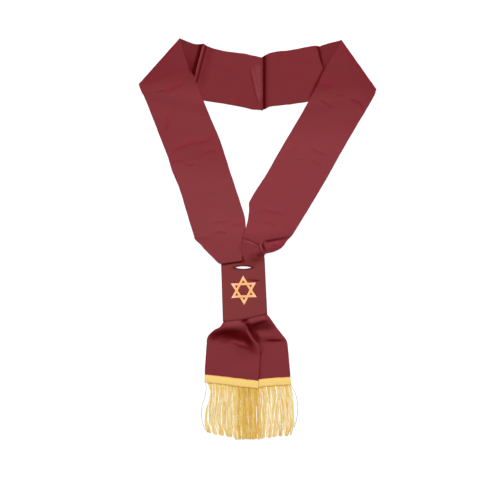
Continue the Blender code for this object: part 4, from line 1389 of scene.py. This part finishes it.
def capsule_strokes(name, strokes, radius, material):
    """Short rounded stitches, each from one point over to another."""
    points, faces, uv = [], [], []
    for start, end in strokes:
        start, end = np.array(start), np.array(end)
        length = np.linalg.norm(end - start)
        run = unit(end - start)
        side = unit(np.cross(run, UP))
        up = np.cross(side, run)
        rings = np.arange((STROKE_STEPS + 1) * STROKE_SIDES).reshape(-1, STROKE_SIDES) + len(points)
        for step in range(STROKE_STEPS + 1):
            t = step / STROKE_STEPS
            swell = math.sin(math.pi * min(max(t, STROKE_ENDS), 1 - STROKE_ENDS)) ** 0.5
            centre = start + run * length * t + UP * (STROKE_CROWN * radius * math.sin(math.pi * t))
            for k in range(STROKE_SIDES):
                angle = math.tau * k / STROKE_SIDES
                points.append(centre + (side * math.cos(angle) + up * math.sin(angle)) * radius * swell)
                uv.append((k / STROKE_SIDES * 0.002, t * length))
        faces += loop_faces(rings).tolist() + [rings[0].tolist()[::-1], rings[-1].tolist()]
    piece = build_mesh(name, np.array(points), faces, material, np.array(uv))
    fix_normals(piece)
    return piece


def make_slit_edge():
    """A buttonhole edge: stitches set side by side round the slit, with a few at its left end."""
    inner, outer = lens_ring(0.0, SLIT_STITCHES), lens_ring(SLIT_EDGE, SLIT_STITCHES)
    low = STITCH_TOP - STITCH_FALL
    strokes = [((*start, low), (*end, STITCH_TOP)) for end, start in zip(inner, outer)]
    for i in range(TAIL_STITCHES):
        ends = (TAIL_STITCH_TOP, TAIL_STITCH_FOOT)
        strokes.append([(x + TAIL_STITCH_STEP * i, y, STITCH_TOP) for x, y in ends])
    ride(capsule_strokes("slit_stitches", strokes, STROKE_RADIUS, slit_material), "ribbon")


# Star

STAR_COLUMNS = 8
STAR_STEPS = 60
STAR_BASE = KEEPER_HEIGHT + 0.0011
STAR_DEPTH = 0.0006
STAR_CROWN = 0.0007
STAR_ROUND = 0.92
STAR_WEAVE = 0.00035
CROSSING_WIDTH = 0.0032
# A painted pink highlight at the star's tips
STAR_TIP_HIGHLIGHT = Step(0.85, 0.0165, 0.0265)


def star_point(normal, run, across, share):
    """A point on a bar, with its distance along the bar: over and under at its two crossings."""
    middle = STAR_RADIUS / 2 - STAR_BAR / 2
    along = (middle + across) * math.tan(math.pi / 3) * (share * 2 - 1)
    place = normal * (middle + across) + run * along
    crossing = middle * math.tan(math.pi / 6)
    weave = gaussian(along + crossing, CROSSING_WIDTH) - gaussian(along - crossing, CROSSING_WIDTH)
    crown = math.sqrt(1 - (across / STAR_BAR * 2) ** 2 * STAR_ROUND)
    return place, along, STAR_BASE + STAR_CROWN * crown + STAR_WEAVE * weave


def make_star():
    """Two interlaced triangles of satin-stitched bars, each bar over and under in turn."""
    points, faces, uv, tip = [], [], [], []
    rows, cols = STAR_STEPS + 1, STAR_COLUMNS + 1
    for bar in range(6):
        out = math.tau / 6 * (bar + 0.5) + STAR_LEAN
        normal = np.array((math.cos(out), math.sin(out)))
        run = np.array((-normal[1], normal[0]))
        first = len(points)
        for step in range(rows):
            for column in range(cols):
                across = (column / STAR_COLUMNS - 0.5) * STAR_BAR
                place, along, z = star_point(normal, run, across, step / STAR_STEPS)
                points.append((STAR_CENTRE[0] + place[0], STAR_CENTRE[1] + place[1], z))
                uv.append((across, along))
                tip.append(math.hypot(*place))
        count = rows * cols
        points += [(x, y, STAR_BASE - STAR_DEPTH) for x, y, z in points[first:]]
        uv += [(0, 0)] * count
        tip += [0.0] * count
        loop = perimeter(rows, cols) + first
        follow = np.roll(loop, -1)
        wall = np.stack((loop, follow, follow + count, loop + count), axis=1)
        faces += grid_faces(rows, cols, first).tolist()
        faces += grid_faces(rows, cols, first + count, True).tolist()
        faces += wall[:, ::-1].tolist()
    paints = {"tip": STAR_TIP_HIGHLIGHT.at(np.array(tip))}
    piece = build_mesh("star_stitching", np.array(points), faces, star_material, np.array(uv), paints)
    fix_normals(piece)
    ride(piece, "star", "star")


# Tails

# The left tail's edge, by its distance below the frame's origin, casts a painted shadow on the
# right tail beside it, and the left tail's ridge is kept free of painted shade
TAIL_EDGE_DOWN = (0.200, 0.262)
TAIL_EDGE_X = (0.0052, 0.0032)
TAIL_EDGE_SHADE = Band(0.50, 0, 0.0022)
TAIL_EDGE_START = Step(1, -0.205, -0.212)
RIDGE_LIGHT = Band(0.85, 0, 0.0010)


def make_tails():
    grid = laid(TAIL_RIGHT, tail_right_height, RIBBON_COLUMNS)
    x, y = plan(grid)
    # Painted shadow of the left tail's edge, and painted shade in the hollows
    edge = TAIL_EDGE_SHADE.at(x - np.interp(-y, TAIL_EDGE_DOWN, TAIL_EDGE_X)) * TAIL_EDGE_START.at(y)
    shade = cover(patches(HOLLOWS_TAIL_RIGHT, x, y), edge)
    paints = cloth_paints(CREASES_TAIL_RIGHT, grid, shade, sheen_lines=SHEEN_LINES_TAIL_RIGHT)
    right = make_ribbon("tail_right", grid, paints)
    grid = laid(TAIL_LEFT, tail_left_height, RIBBON_COLUMNS)
    x, y = plan(grid)
    ridge, _ = near_line(TAIL_RIDGE, x, y)
    # Painted shade in the hollows, kept off the ridge, which gets painted sheen
    shade = patches(HOLLOWS_TAIL_LEFT, x, y) * (1 - RIDGE_LIGHT.at(ridge))
    paints = cloth_paints(CREASES_TAIL_LEFT, grid, shade, sheen_lines=SHEEN_LINES_TAIL_LEFT)
    left = make_ribbon("tail_left", grid, paints)


# Trims and fringes

BRAID_COLUMNS = 14
BRAID_CELL = 0.001
BRAID_THICK = 0.0010
BRAID_SWELL = 0.0003
BRAID_TOP = Band(1, 0, 0.065)
BRAID_FOOT = Band(0.55, 0, 0.12)
BRAID_SPOTS = 1.35


def make_trims():
    trims = (("left", TRIM_LEFT, trim_left_height), ("right", TRIM_RIGHT, trim_right_height))
    for side, rows, level in trims:
        grid = laid(rows, level, BRAID_COLUMNS, BRAID_CELL)
        share = np.broadcast_to(np.linspace(0, 1, BRAID_COLUMNS + 1)[None, :], grid.shape[:2])
        grid[..., 2] += BRAID_SWELL * np.sin(math.pi * share)
        spots = np.sin(np.arange(len(grid)) * BRAID_SPOTS)[:, None] * 0.5 + 0.5
        edge = BRAID_TOP.at(share) + BRAID_FOOT.at(1 - share) * spots
        piece = shell("braid_" + side, lift(grid), braid_material, BRAID_THICK, {"crease": edge})
        ride(piece, "braid", "trim_" + side)


# The curtain of threads hangs between two edges, parts at its gaps and gathers into tufts
# at its end. The ends of its top are in metres, and points, tufts and pushes in millimetres.
Gap = namedtuple("Gap", "push points")
Fringe = namedtuple("Fringe", "side left top_left right top_right raised seed "
                              "left_edge right_edge tufts stray")
FRINGES = (
    Fringe("left", -0.0984, -0.2593, 0.0010, -0.2707, True, 31,
           ((-98.4, -259.3), (-92.6, -271), (-89.5, -285.7), (-91.4, -303), (-96.6, -319),
            (-98.8, -334), (-98.8, -346), (-95.0, -359), (-92.0, -366)),
           ((1.0, -270.7), (4.0, -290), (6.0, -320), (7.0, -350), (6.0, -376)),
           (-92, -78, -68, -54, -39, -25, -9, 3),
           ((-97.6, -266), (-96.4, -277), (-98.8, -294), (-104.0, -310), (-105.2, -323),
            (-103.0, -341), (-98.0, -355), (-89.6, -362))),
    Fringe("right", -0.0382, -0.2716, 0.0616, -0.2638, False, 57,
           ((-38.2, -271.6), (-38.0, -290), (-38.0, -330), (-36.0, -376)),
           ((61.6, -263.8), (61.8, -272.3), (65.2, -288.4), (66.9, -309.8), (68.6, -333.9),
            (69.6, -344.7), (66.9, -355.4), (63.5, -368)),
           (-31, -17, -6, 8, 22, 32, 43.5, 54, 63.5),
           ((61.2, -268), (64.5, -275), (71.2, -289), (75.2, -309), (74.0, -331), (70.4, -346),
            (68.2, -352))),
)
GAPS = (
    Gap(2.0, ((-91.0, -306), (-93.0, -326), (-92.4, -342), (-87.0, -355.4), (-80.0, -368))),
    Gap(0.8, ((-80.2, -267), (-78.8, -292), (-80.2, -312), (-82.4, -338))),
    Gap(0.8, ((-71.5, -284), (-74.8, -315), (-71.5, -339), (-67.5, -358))),
    Gap(0.8, ((-65.5, -288), (-67.5, -319), (-68.1, -346))),
    Gap(0.7, ((-56.5, -268), (-57.0, -300), (-58.1, -330), (-58.1, -356))),
    Gap(0.7, ((-46.7, -284), (-47.4, -314))),
    Gap(1.3, ((-61.2, -354), (-60.6, -372))),
    Gap(1.3, ((-45.0, -350), (-44.0, -374))),
    Gap(1.0, ((-31.0, -348), (-30.0, -376))),
    Gap(1.3, ((-1.8, -312), (-1.8, -344))),
    Gap(0.9, ((-1.0, -360), (0.5, -380))),
    Gap(1.0, ((15.5, -272), (20.7, -300), (18.0, -315), (18.0, -336))),
    Gap(1.3, ((33.0, -270), (36.7, -292), (32.7, -315), (30.7, -334), (28.0, -362))),
    Gap(0.8, ((40.4, -312), (41.6, -334))),
    Gap(0.9, ((50.5, -276), (53.0, -296))),
    Gap(0.9, ((58.6, -312), (59.6, -350))),
    Gap(1.5, ((47.2, -346), (48.4, -372))),
    Gap(1.2, ((38.5, -354), (38.0, -372))),
    Gap(1.2, ((60.0, -354), (58.5, -372))),
    Gap(0.8, ((-84.5, -270), (-84.0, -300))),
    Gap(0.7, ((25.0, -280), (26.0, -312))),
    Gap(0.7, ((8.5, -284), (10.0, -306))),
)
STRANDS = 380
STRAND_RADIUS = 0.00029
STRAND_STEPS = 24
SIDES = 4
STRAY_STEPS = 52
STRAY_RADIUS = 0.00068
STRAY_Z = (0.0022, 0.0006)
STRAY_CELL = 0.002
HEAD_HEIGHT = 0.0068
HEAD_COLUMNS = 6

# Where the threads end, in metres, from the left edge to the right one
END_LINE = ((-0.1000, -0.3600), (-0.0910, -0.3620), (-0.0780, -0.3650), (-0.0680, -0.3662),
            (-0.0540, -0.3690), (-0.0390, -0.3742), (-0.0250, -0.3735), (-0.0090, -0.3738),
            (0.0080, -0.3728), (0.0220, -0.3706), (0.0320, -0.3690), (0.0435, -0.3680),
            (0.0540, -0.3672), (0.0640, -0.3664), (0.0720, -0.3640))
END_HIGHEST = -0.355
END_SPREAD = 0.0011
TIP_SPREAD = 0.0009

# How a thread hangs. Its waves and changes run from its top at 0 to its end at 1, apart from
# THREAD_FALL, which runs over the distance below its top.
Wave = namedtuple("Wave", "amount down across seed")
THREAD_WAVES = (Wave(0.0008, 6.0, 37, 1), Wave(0.0005, 11.0, -83, 0))
HANG = Step(1, 0.02, 0.30)
WILD_SHARE = 0.06
WILD_BOW = 0.0022
WOBBLE = 0.00045
GATHER = Step(0.14, 0.78, 1.0)
TUFT_POINT = 0.0024
TUFT_WIDTH = 0.006
GAP_SHARE = 0.62
GAP_WIDTH = 0.0022
GAP_INSIDE = 0.004
GAP_OUTSIDE = 0.006
THREAD_REST = 0.0005
THREAD_ON_TAIL = 0.0011
THREAD_FALL = Step(1, 0.004, 0.024)
LOOSE_START = Step(1, 0.0, 0.15)
LOOSE_LEAST = 0.0002
LOOSE_MORE = 0.0012
RIPPLE = 0.0002

# The tone of a thread, from light at 0 to dark at 1
TONE = 0.36
TONE_WAVE = 0.16
TONE_SPREAD = 0.22
TONE_MIDDLE = Band(0.32, -0.0160, 0.0260)
TONE_END = Step(0.05, 0.80, 1.0)
TONE_TOP = Step(0.20, 0.14, 0.04)


def down_line(points, y):
    """x of a line of points that runs down, at y."""
    xs, ys = np.array(points).T * MM
    return np.interp(-y, -ys, xs)


def part_at_gaps(x, y):
    """Threads pushed aside at the gaps."""
    for gap in GAPS:
        ys = np.array(gap.points)[:, 1] * MM
        window = Span(1, ys[-1] - GAP_OUTSIDE, ys[-1] + GAP_INSIDE, ys[0] - GAP_INSIDE, ys[0] + GAP_OUTSIDE)
        away = x - down_line(gap.points, y)
        push = np.where(away >= 0, 1.0, -1.0) * gap.push * MM * GAP_SHARE
        x = x + push * gaussian(away, GAP_WIDTH) * window.at(y)
    return x


def thread_tube(points, radius):
    """Four-sided tube about a line of points: its vertices and faces."""
    count = len(points)
    turns = np.arange(SIDES) / SIDES * math.tau + math.pi / 4
    ring = np.stack((np.cos(turns), np.zeros(SIDES), np.sin(turns)), axis=1) * radius
    width = np.ones(count)
    width[-1] = 0.5
    verts = points[:, None, :] + ring[None, :, :] * width[:, None, None]
    index = np.arange(count * SIDES).reshape(count, SIDES)
    ends = np.stack((index[0][::-1], index[-1]))
    return verts.reshape(-1, 3), np.concatenate((loop_faces(index), ends))


def thread_uv(down):
    """uv of a thread's vertices: the number of the side, and the distance down the thread."""
    return np.stack((np.tile(np.arange(SIDES), len(down)), np.repeat(down, SIDES)), axis=1)


def hang_thread(fringe, number, chance, t):
    """The x, y and z down one thread, with its share of the way across the fringe."""
    tufts = np.array(fringe.tufts) * MM
    share = (number + chance.uniform(0.0, 1.0)) / STRANDS
    top_x = fringe.left + (fringe.right - fringe.left) * share
    top_y = fringe.top_left + (fringe.top_right - fringe.top_left) * share
    end_y = np.interp(top_x, *zip(*END_LINE)) + chance.gauss(0, END_SPREAD)
    y = top_y + (end_y - top_y) * t
    left, right = down_line(fringe.left_edge, y), down_line(fringe.right_edge, y)
    hang = HANG.at(t)
    x = left + (right - left) * share
    for wave in THREAD_WAVES:
        turns = t * wave.down + share * wave.across + fringe.seed * wave.seed
        x = x + wave.amount * np.sin(turns) * hang
    x = x + chance.gauss(0, WOBBLE) * np.sin(t * chance.uniform(3, 9) + chance.uniform(0, 6)) * hang
    if chance.random() < WILD_SHARE:
        x = x + chance.gauss(0, WILD_BOW) * np.sin(math.pi * t) * hang
    nearest = tufts[np.argmin(np.abs(tufts - x[-1]))]
    x = x + (nearest - x) * GATHER.at(t)
    x = part_at_gaps(x, y)
    end = np.interp(x[-1], *zip(*END_LINE)) + TUFT_POINT * (abs(x[-1] - nearest) / TUFT_WIDTH) ** 2
    y = top_y + (min(end, END_HIGHEST) + chance.gauss(0, TIP_SPREAD) - top_y) * t
    over = under_tail(x) if fringe.raised else np.zeros_like(x)
    start_z = height(2 * over[0])
    z = start_z + (THREAD_REST + THREAD_ON_TAIL * over - start_z) * THREAD_FALL.at(top_y - y)
    loose = LOOSE_LEAST + LOOSE_MORE * chance.random()
    z = z + loose * LOOSE_START.at(t) + RIPPLE * np.sin(t * 13 + number)
    return x, y, z, share


def make_fringe(fringe):
    chance = random.Random(fringe.seed)
    t = np.append(np.linspace(0, 0.994, STRAND_STEPS), 1.0)
    points, faces, uv, shade = [], [], [], []
    total = 0
    for number in range(STRANDS):
        x, y, z, share = hang_thread(fringe, number, chance, t)
        verts, quads = thread_tube(np.stack((x, y, z), axis=1), STRAND_RADIUS * chance.uniform(0.8, 1.15))
        tone = TONE + TONE_WAVE * math.sin(share * 57 + fringe.seed) + chance.gauss(0, TONE_SPREAD)
        tone = tone + TONE_MIDDLE.at(x) + TONE_END.at(t) + TONE_TOP.at(t)
        points.append(verts)
        faces.append(quads + total)
        uv.append(thread_uv(y[0] - y))
        shade.append(np.repeat(np.clip(tone, 0, 1), SIDES))
        total += len(verts)
    stray = smooth_line(fringe.stray, STRAY_STEPS)
    line = np.column_stack((stray, np.linspace(*STRAY_Z, STRAY_STEPS)))
    verts, quads = thread_tube(line, STRAY_RADIUS)
    points.append(verts)
    faces.append(quads + total)
    uv.append(thread_uv(np.arange(STRAY_STEPS) * STRAY_CELL))
    shade = np.concatenate(shade + [np.ones(len(verts))])
    loose = (np.arange(len(shade)) >= total).astype(float)
    piece = build_mesh("fringe_threads_" + fringe.side, np.concatenate(points), np.concatenate(faces),
                       fringe_material, np.concatenate(uv), {"shade": shade, "stray": loose})
    ride(piece, "fringe", "fringe_" + fringe.side)


def smooth_line(points, count):
    """A smooth curve through points in millimetres, as evenly spaced points in metres."""
    points = np.array(points) * MM
    knots = distances(points)
    slopes = np.gradient(points, knots, axis=0)
    where = np.linspace(0, knots[-1], count)
    spot = np.clip(np.searchsorted(knots, where, side="right") - 1, 0, len(points) - 2)
    run = (knots[spot + 1] - knots[spot])[:, None]
    share = (where - knots[spot])[:, None] / run
    return curve_between(points[spot], points[spot + 1], slopes[spot], slopes[spot + 1], run, share)


def strip_left_height(x, y, share):
    return height(under_tail(x) * 2)


def make_strip(fringe):
    """The woven head of a fringe, under its braid."""
    rows = (Row(fringe.left, fringe.top_left, -90.0, HEAD_HEIGHT),
            Row(fringe.right, fringe.top_right, -90.0, HEAD_HEIGHT))
    level = strip_left_height if fringe.raised else flat_height
    grid = laid(rows, level, HEAD_COLUMNS, BRAID_CELL)
    paints = {"crease": np.zeros(grid.shape[:2])}
    piece = shell("fringe_head_" + fringe.side, lift(grid), braid_material, SHEET, paints)
    ride(piece, "fringe")


# Floor, light and camera

WHITE = (1, 1, 1, 1)
FLOOR_GREY = (0.22, 0.22, 0.22, 1)
FLOOR_GLOW = 0.86
FLOOR_HALF = 12.0
FLOOR_Z = -0.0002
WORLD_STRENGTH = 0.42
CAMERA_LENS = 85
CAMERA_PLACE = (-0.0329, -0.0002, 2.125)


def make_stage():
    """A grey floor that glows white, and a white world."""
    mesh = bpy.data.meshes.new("floor")
    corners = ((-1, -1), (1, -1), (1, 1), (-1, 1))
    mesh.from_pydata([(x * FLOOR_HALF, y * FLOOR_HALF, FLOOR_Z) for x, y in corners], [], [(0, 1, 2, 3)])
    nodes = Nodes("floor")
    nodes.surface(FLOOR_GREY, 1.0, 0.0)
    nodes.shader.inputs["Emission Color"].default_value = WHITE
    nodes.shader.inputs["Emission Strength"].default_value = FLOOR_GLOW
    mesh.materials.append(nodes.material)
    add_object("floor", mesh)
    world = bpy.data.worlds.new("studio")
    bpy.context.scene.world = world
    world.use_nodes = True
    world.node_tree.nodes["Background"].inputs["Color"].default_value = WHITE
    world.node_tree.nodes["Background"].inputs["Strength"].default_value = WORLD_STRENGTH


def add_light(name, place, aim, size, watts):
    data = bpy.data.lights.new(name, "AREA")
    data.shape = "RECTANGLE"
    data.size, data.size_y = size
    data.energy = watts
    lamp = add_object(name, data)
    lamp.location = place
    lamp.rotation_euler = (Vector(aim) - Vector(place)).to_track_quat("-Z", "Y").to_euler()


def make_lights():
    add_light("key", (-0.60, 3.30, 2.90), (0, -0.1, 0), (2.2, 1.8), 175)
    add_light("top", (0.10, 0.10, 4.20), (0, 0, 0), (2.0, 2.0), 75)


def make_camera():
    """Straight above the sash, at the height that gives the photograph's frame."""
    data = bpy.data.cameras.new("camera")
    data.lens = CAMERA_LENS
    data.sensor_width = 36
    camera = add_object("camera", data)
    camera.location = CAMERA_PLACE
    bpy.context.scene.camera = camera


make_stage()
make_lights()
make_camera()
make_necks()
make_keeper()
make_core()
make_slit_edge()
make_front_left()
make_front_right()
make_star()
make_tails()
make_trims()
for fringe in FRINGES:
    make_fringe(fringe)
    make_strip(fringe)
bpy.context.scene.view_settings.view_transform = "Standard"
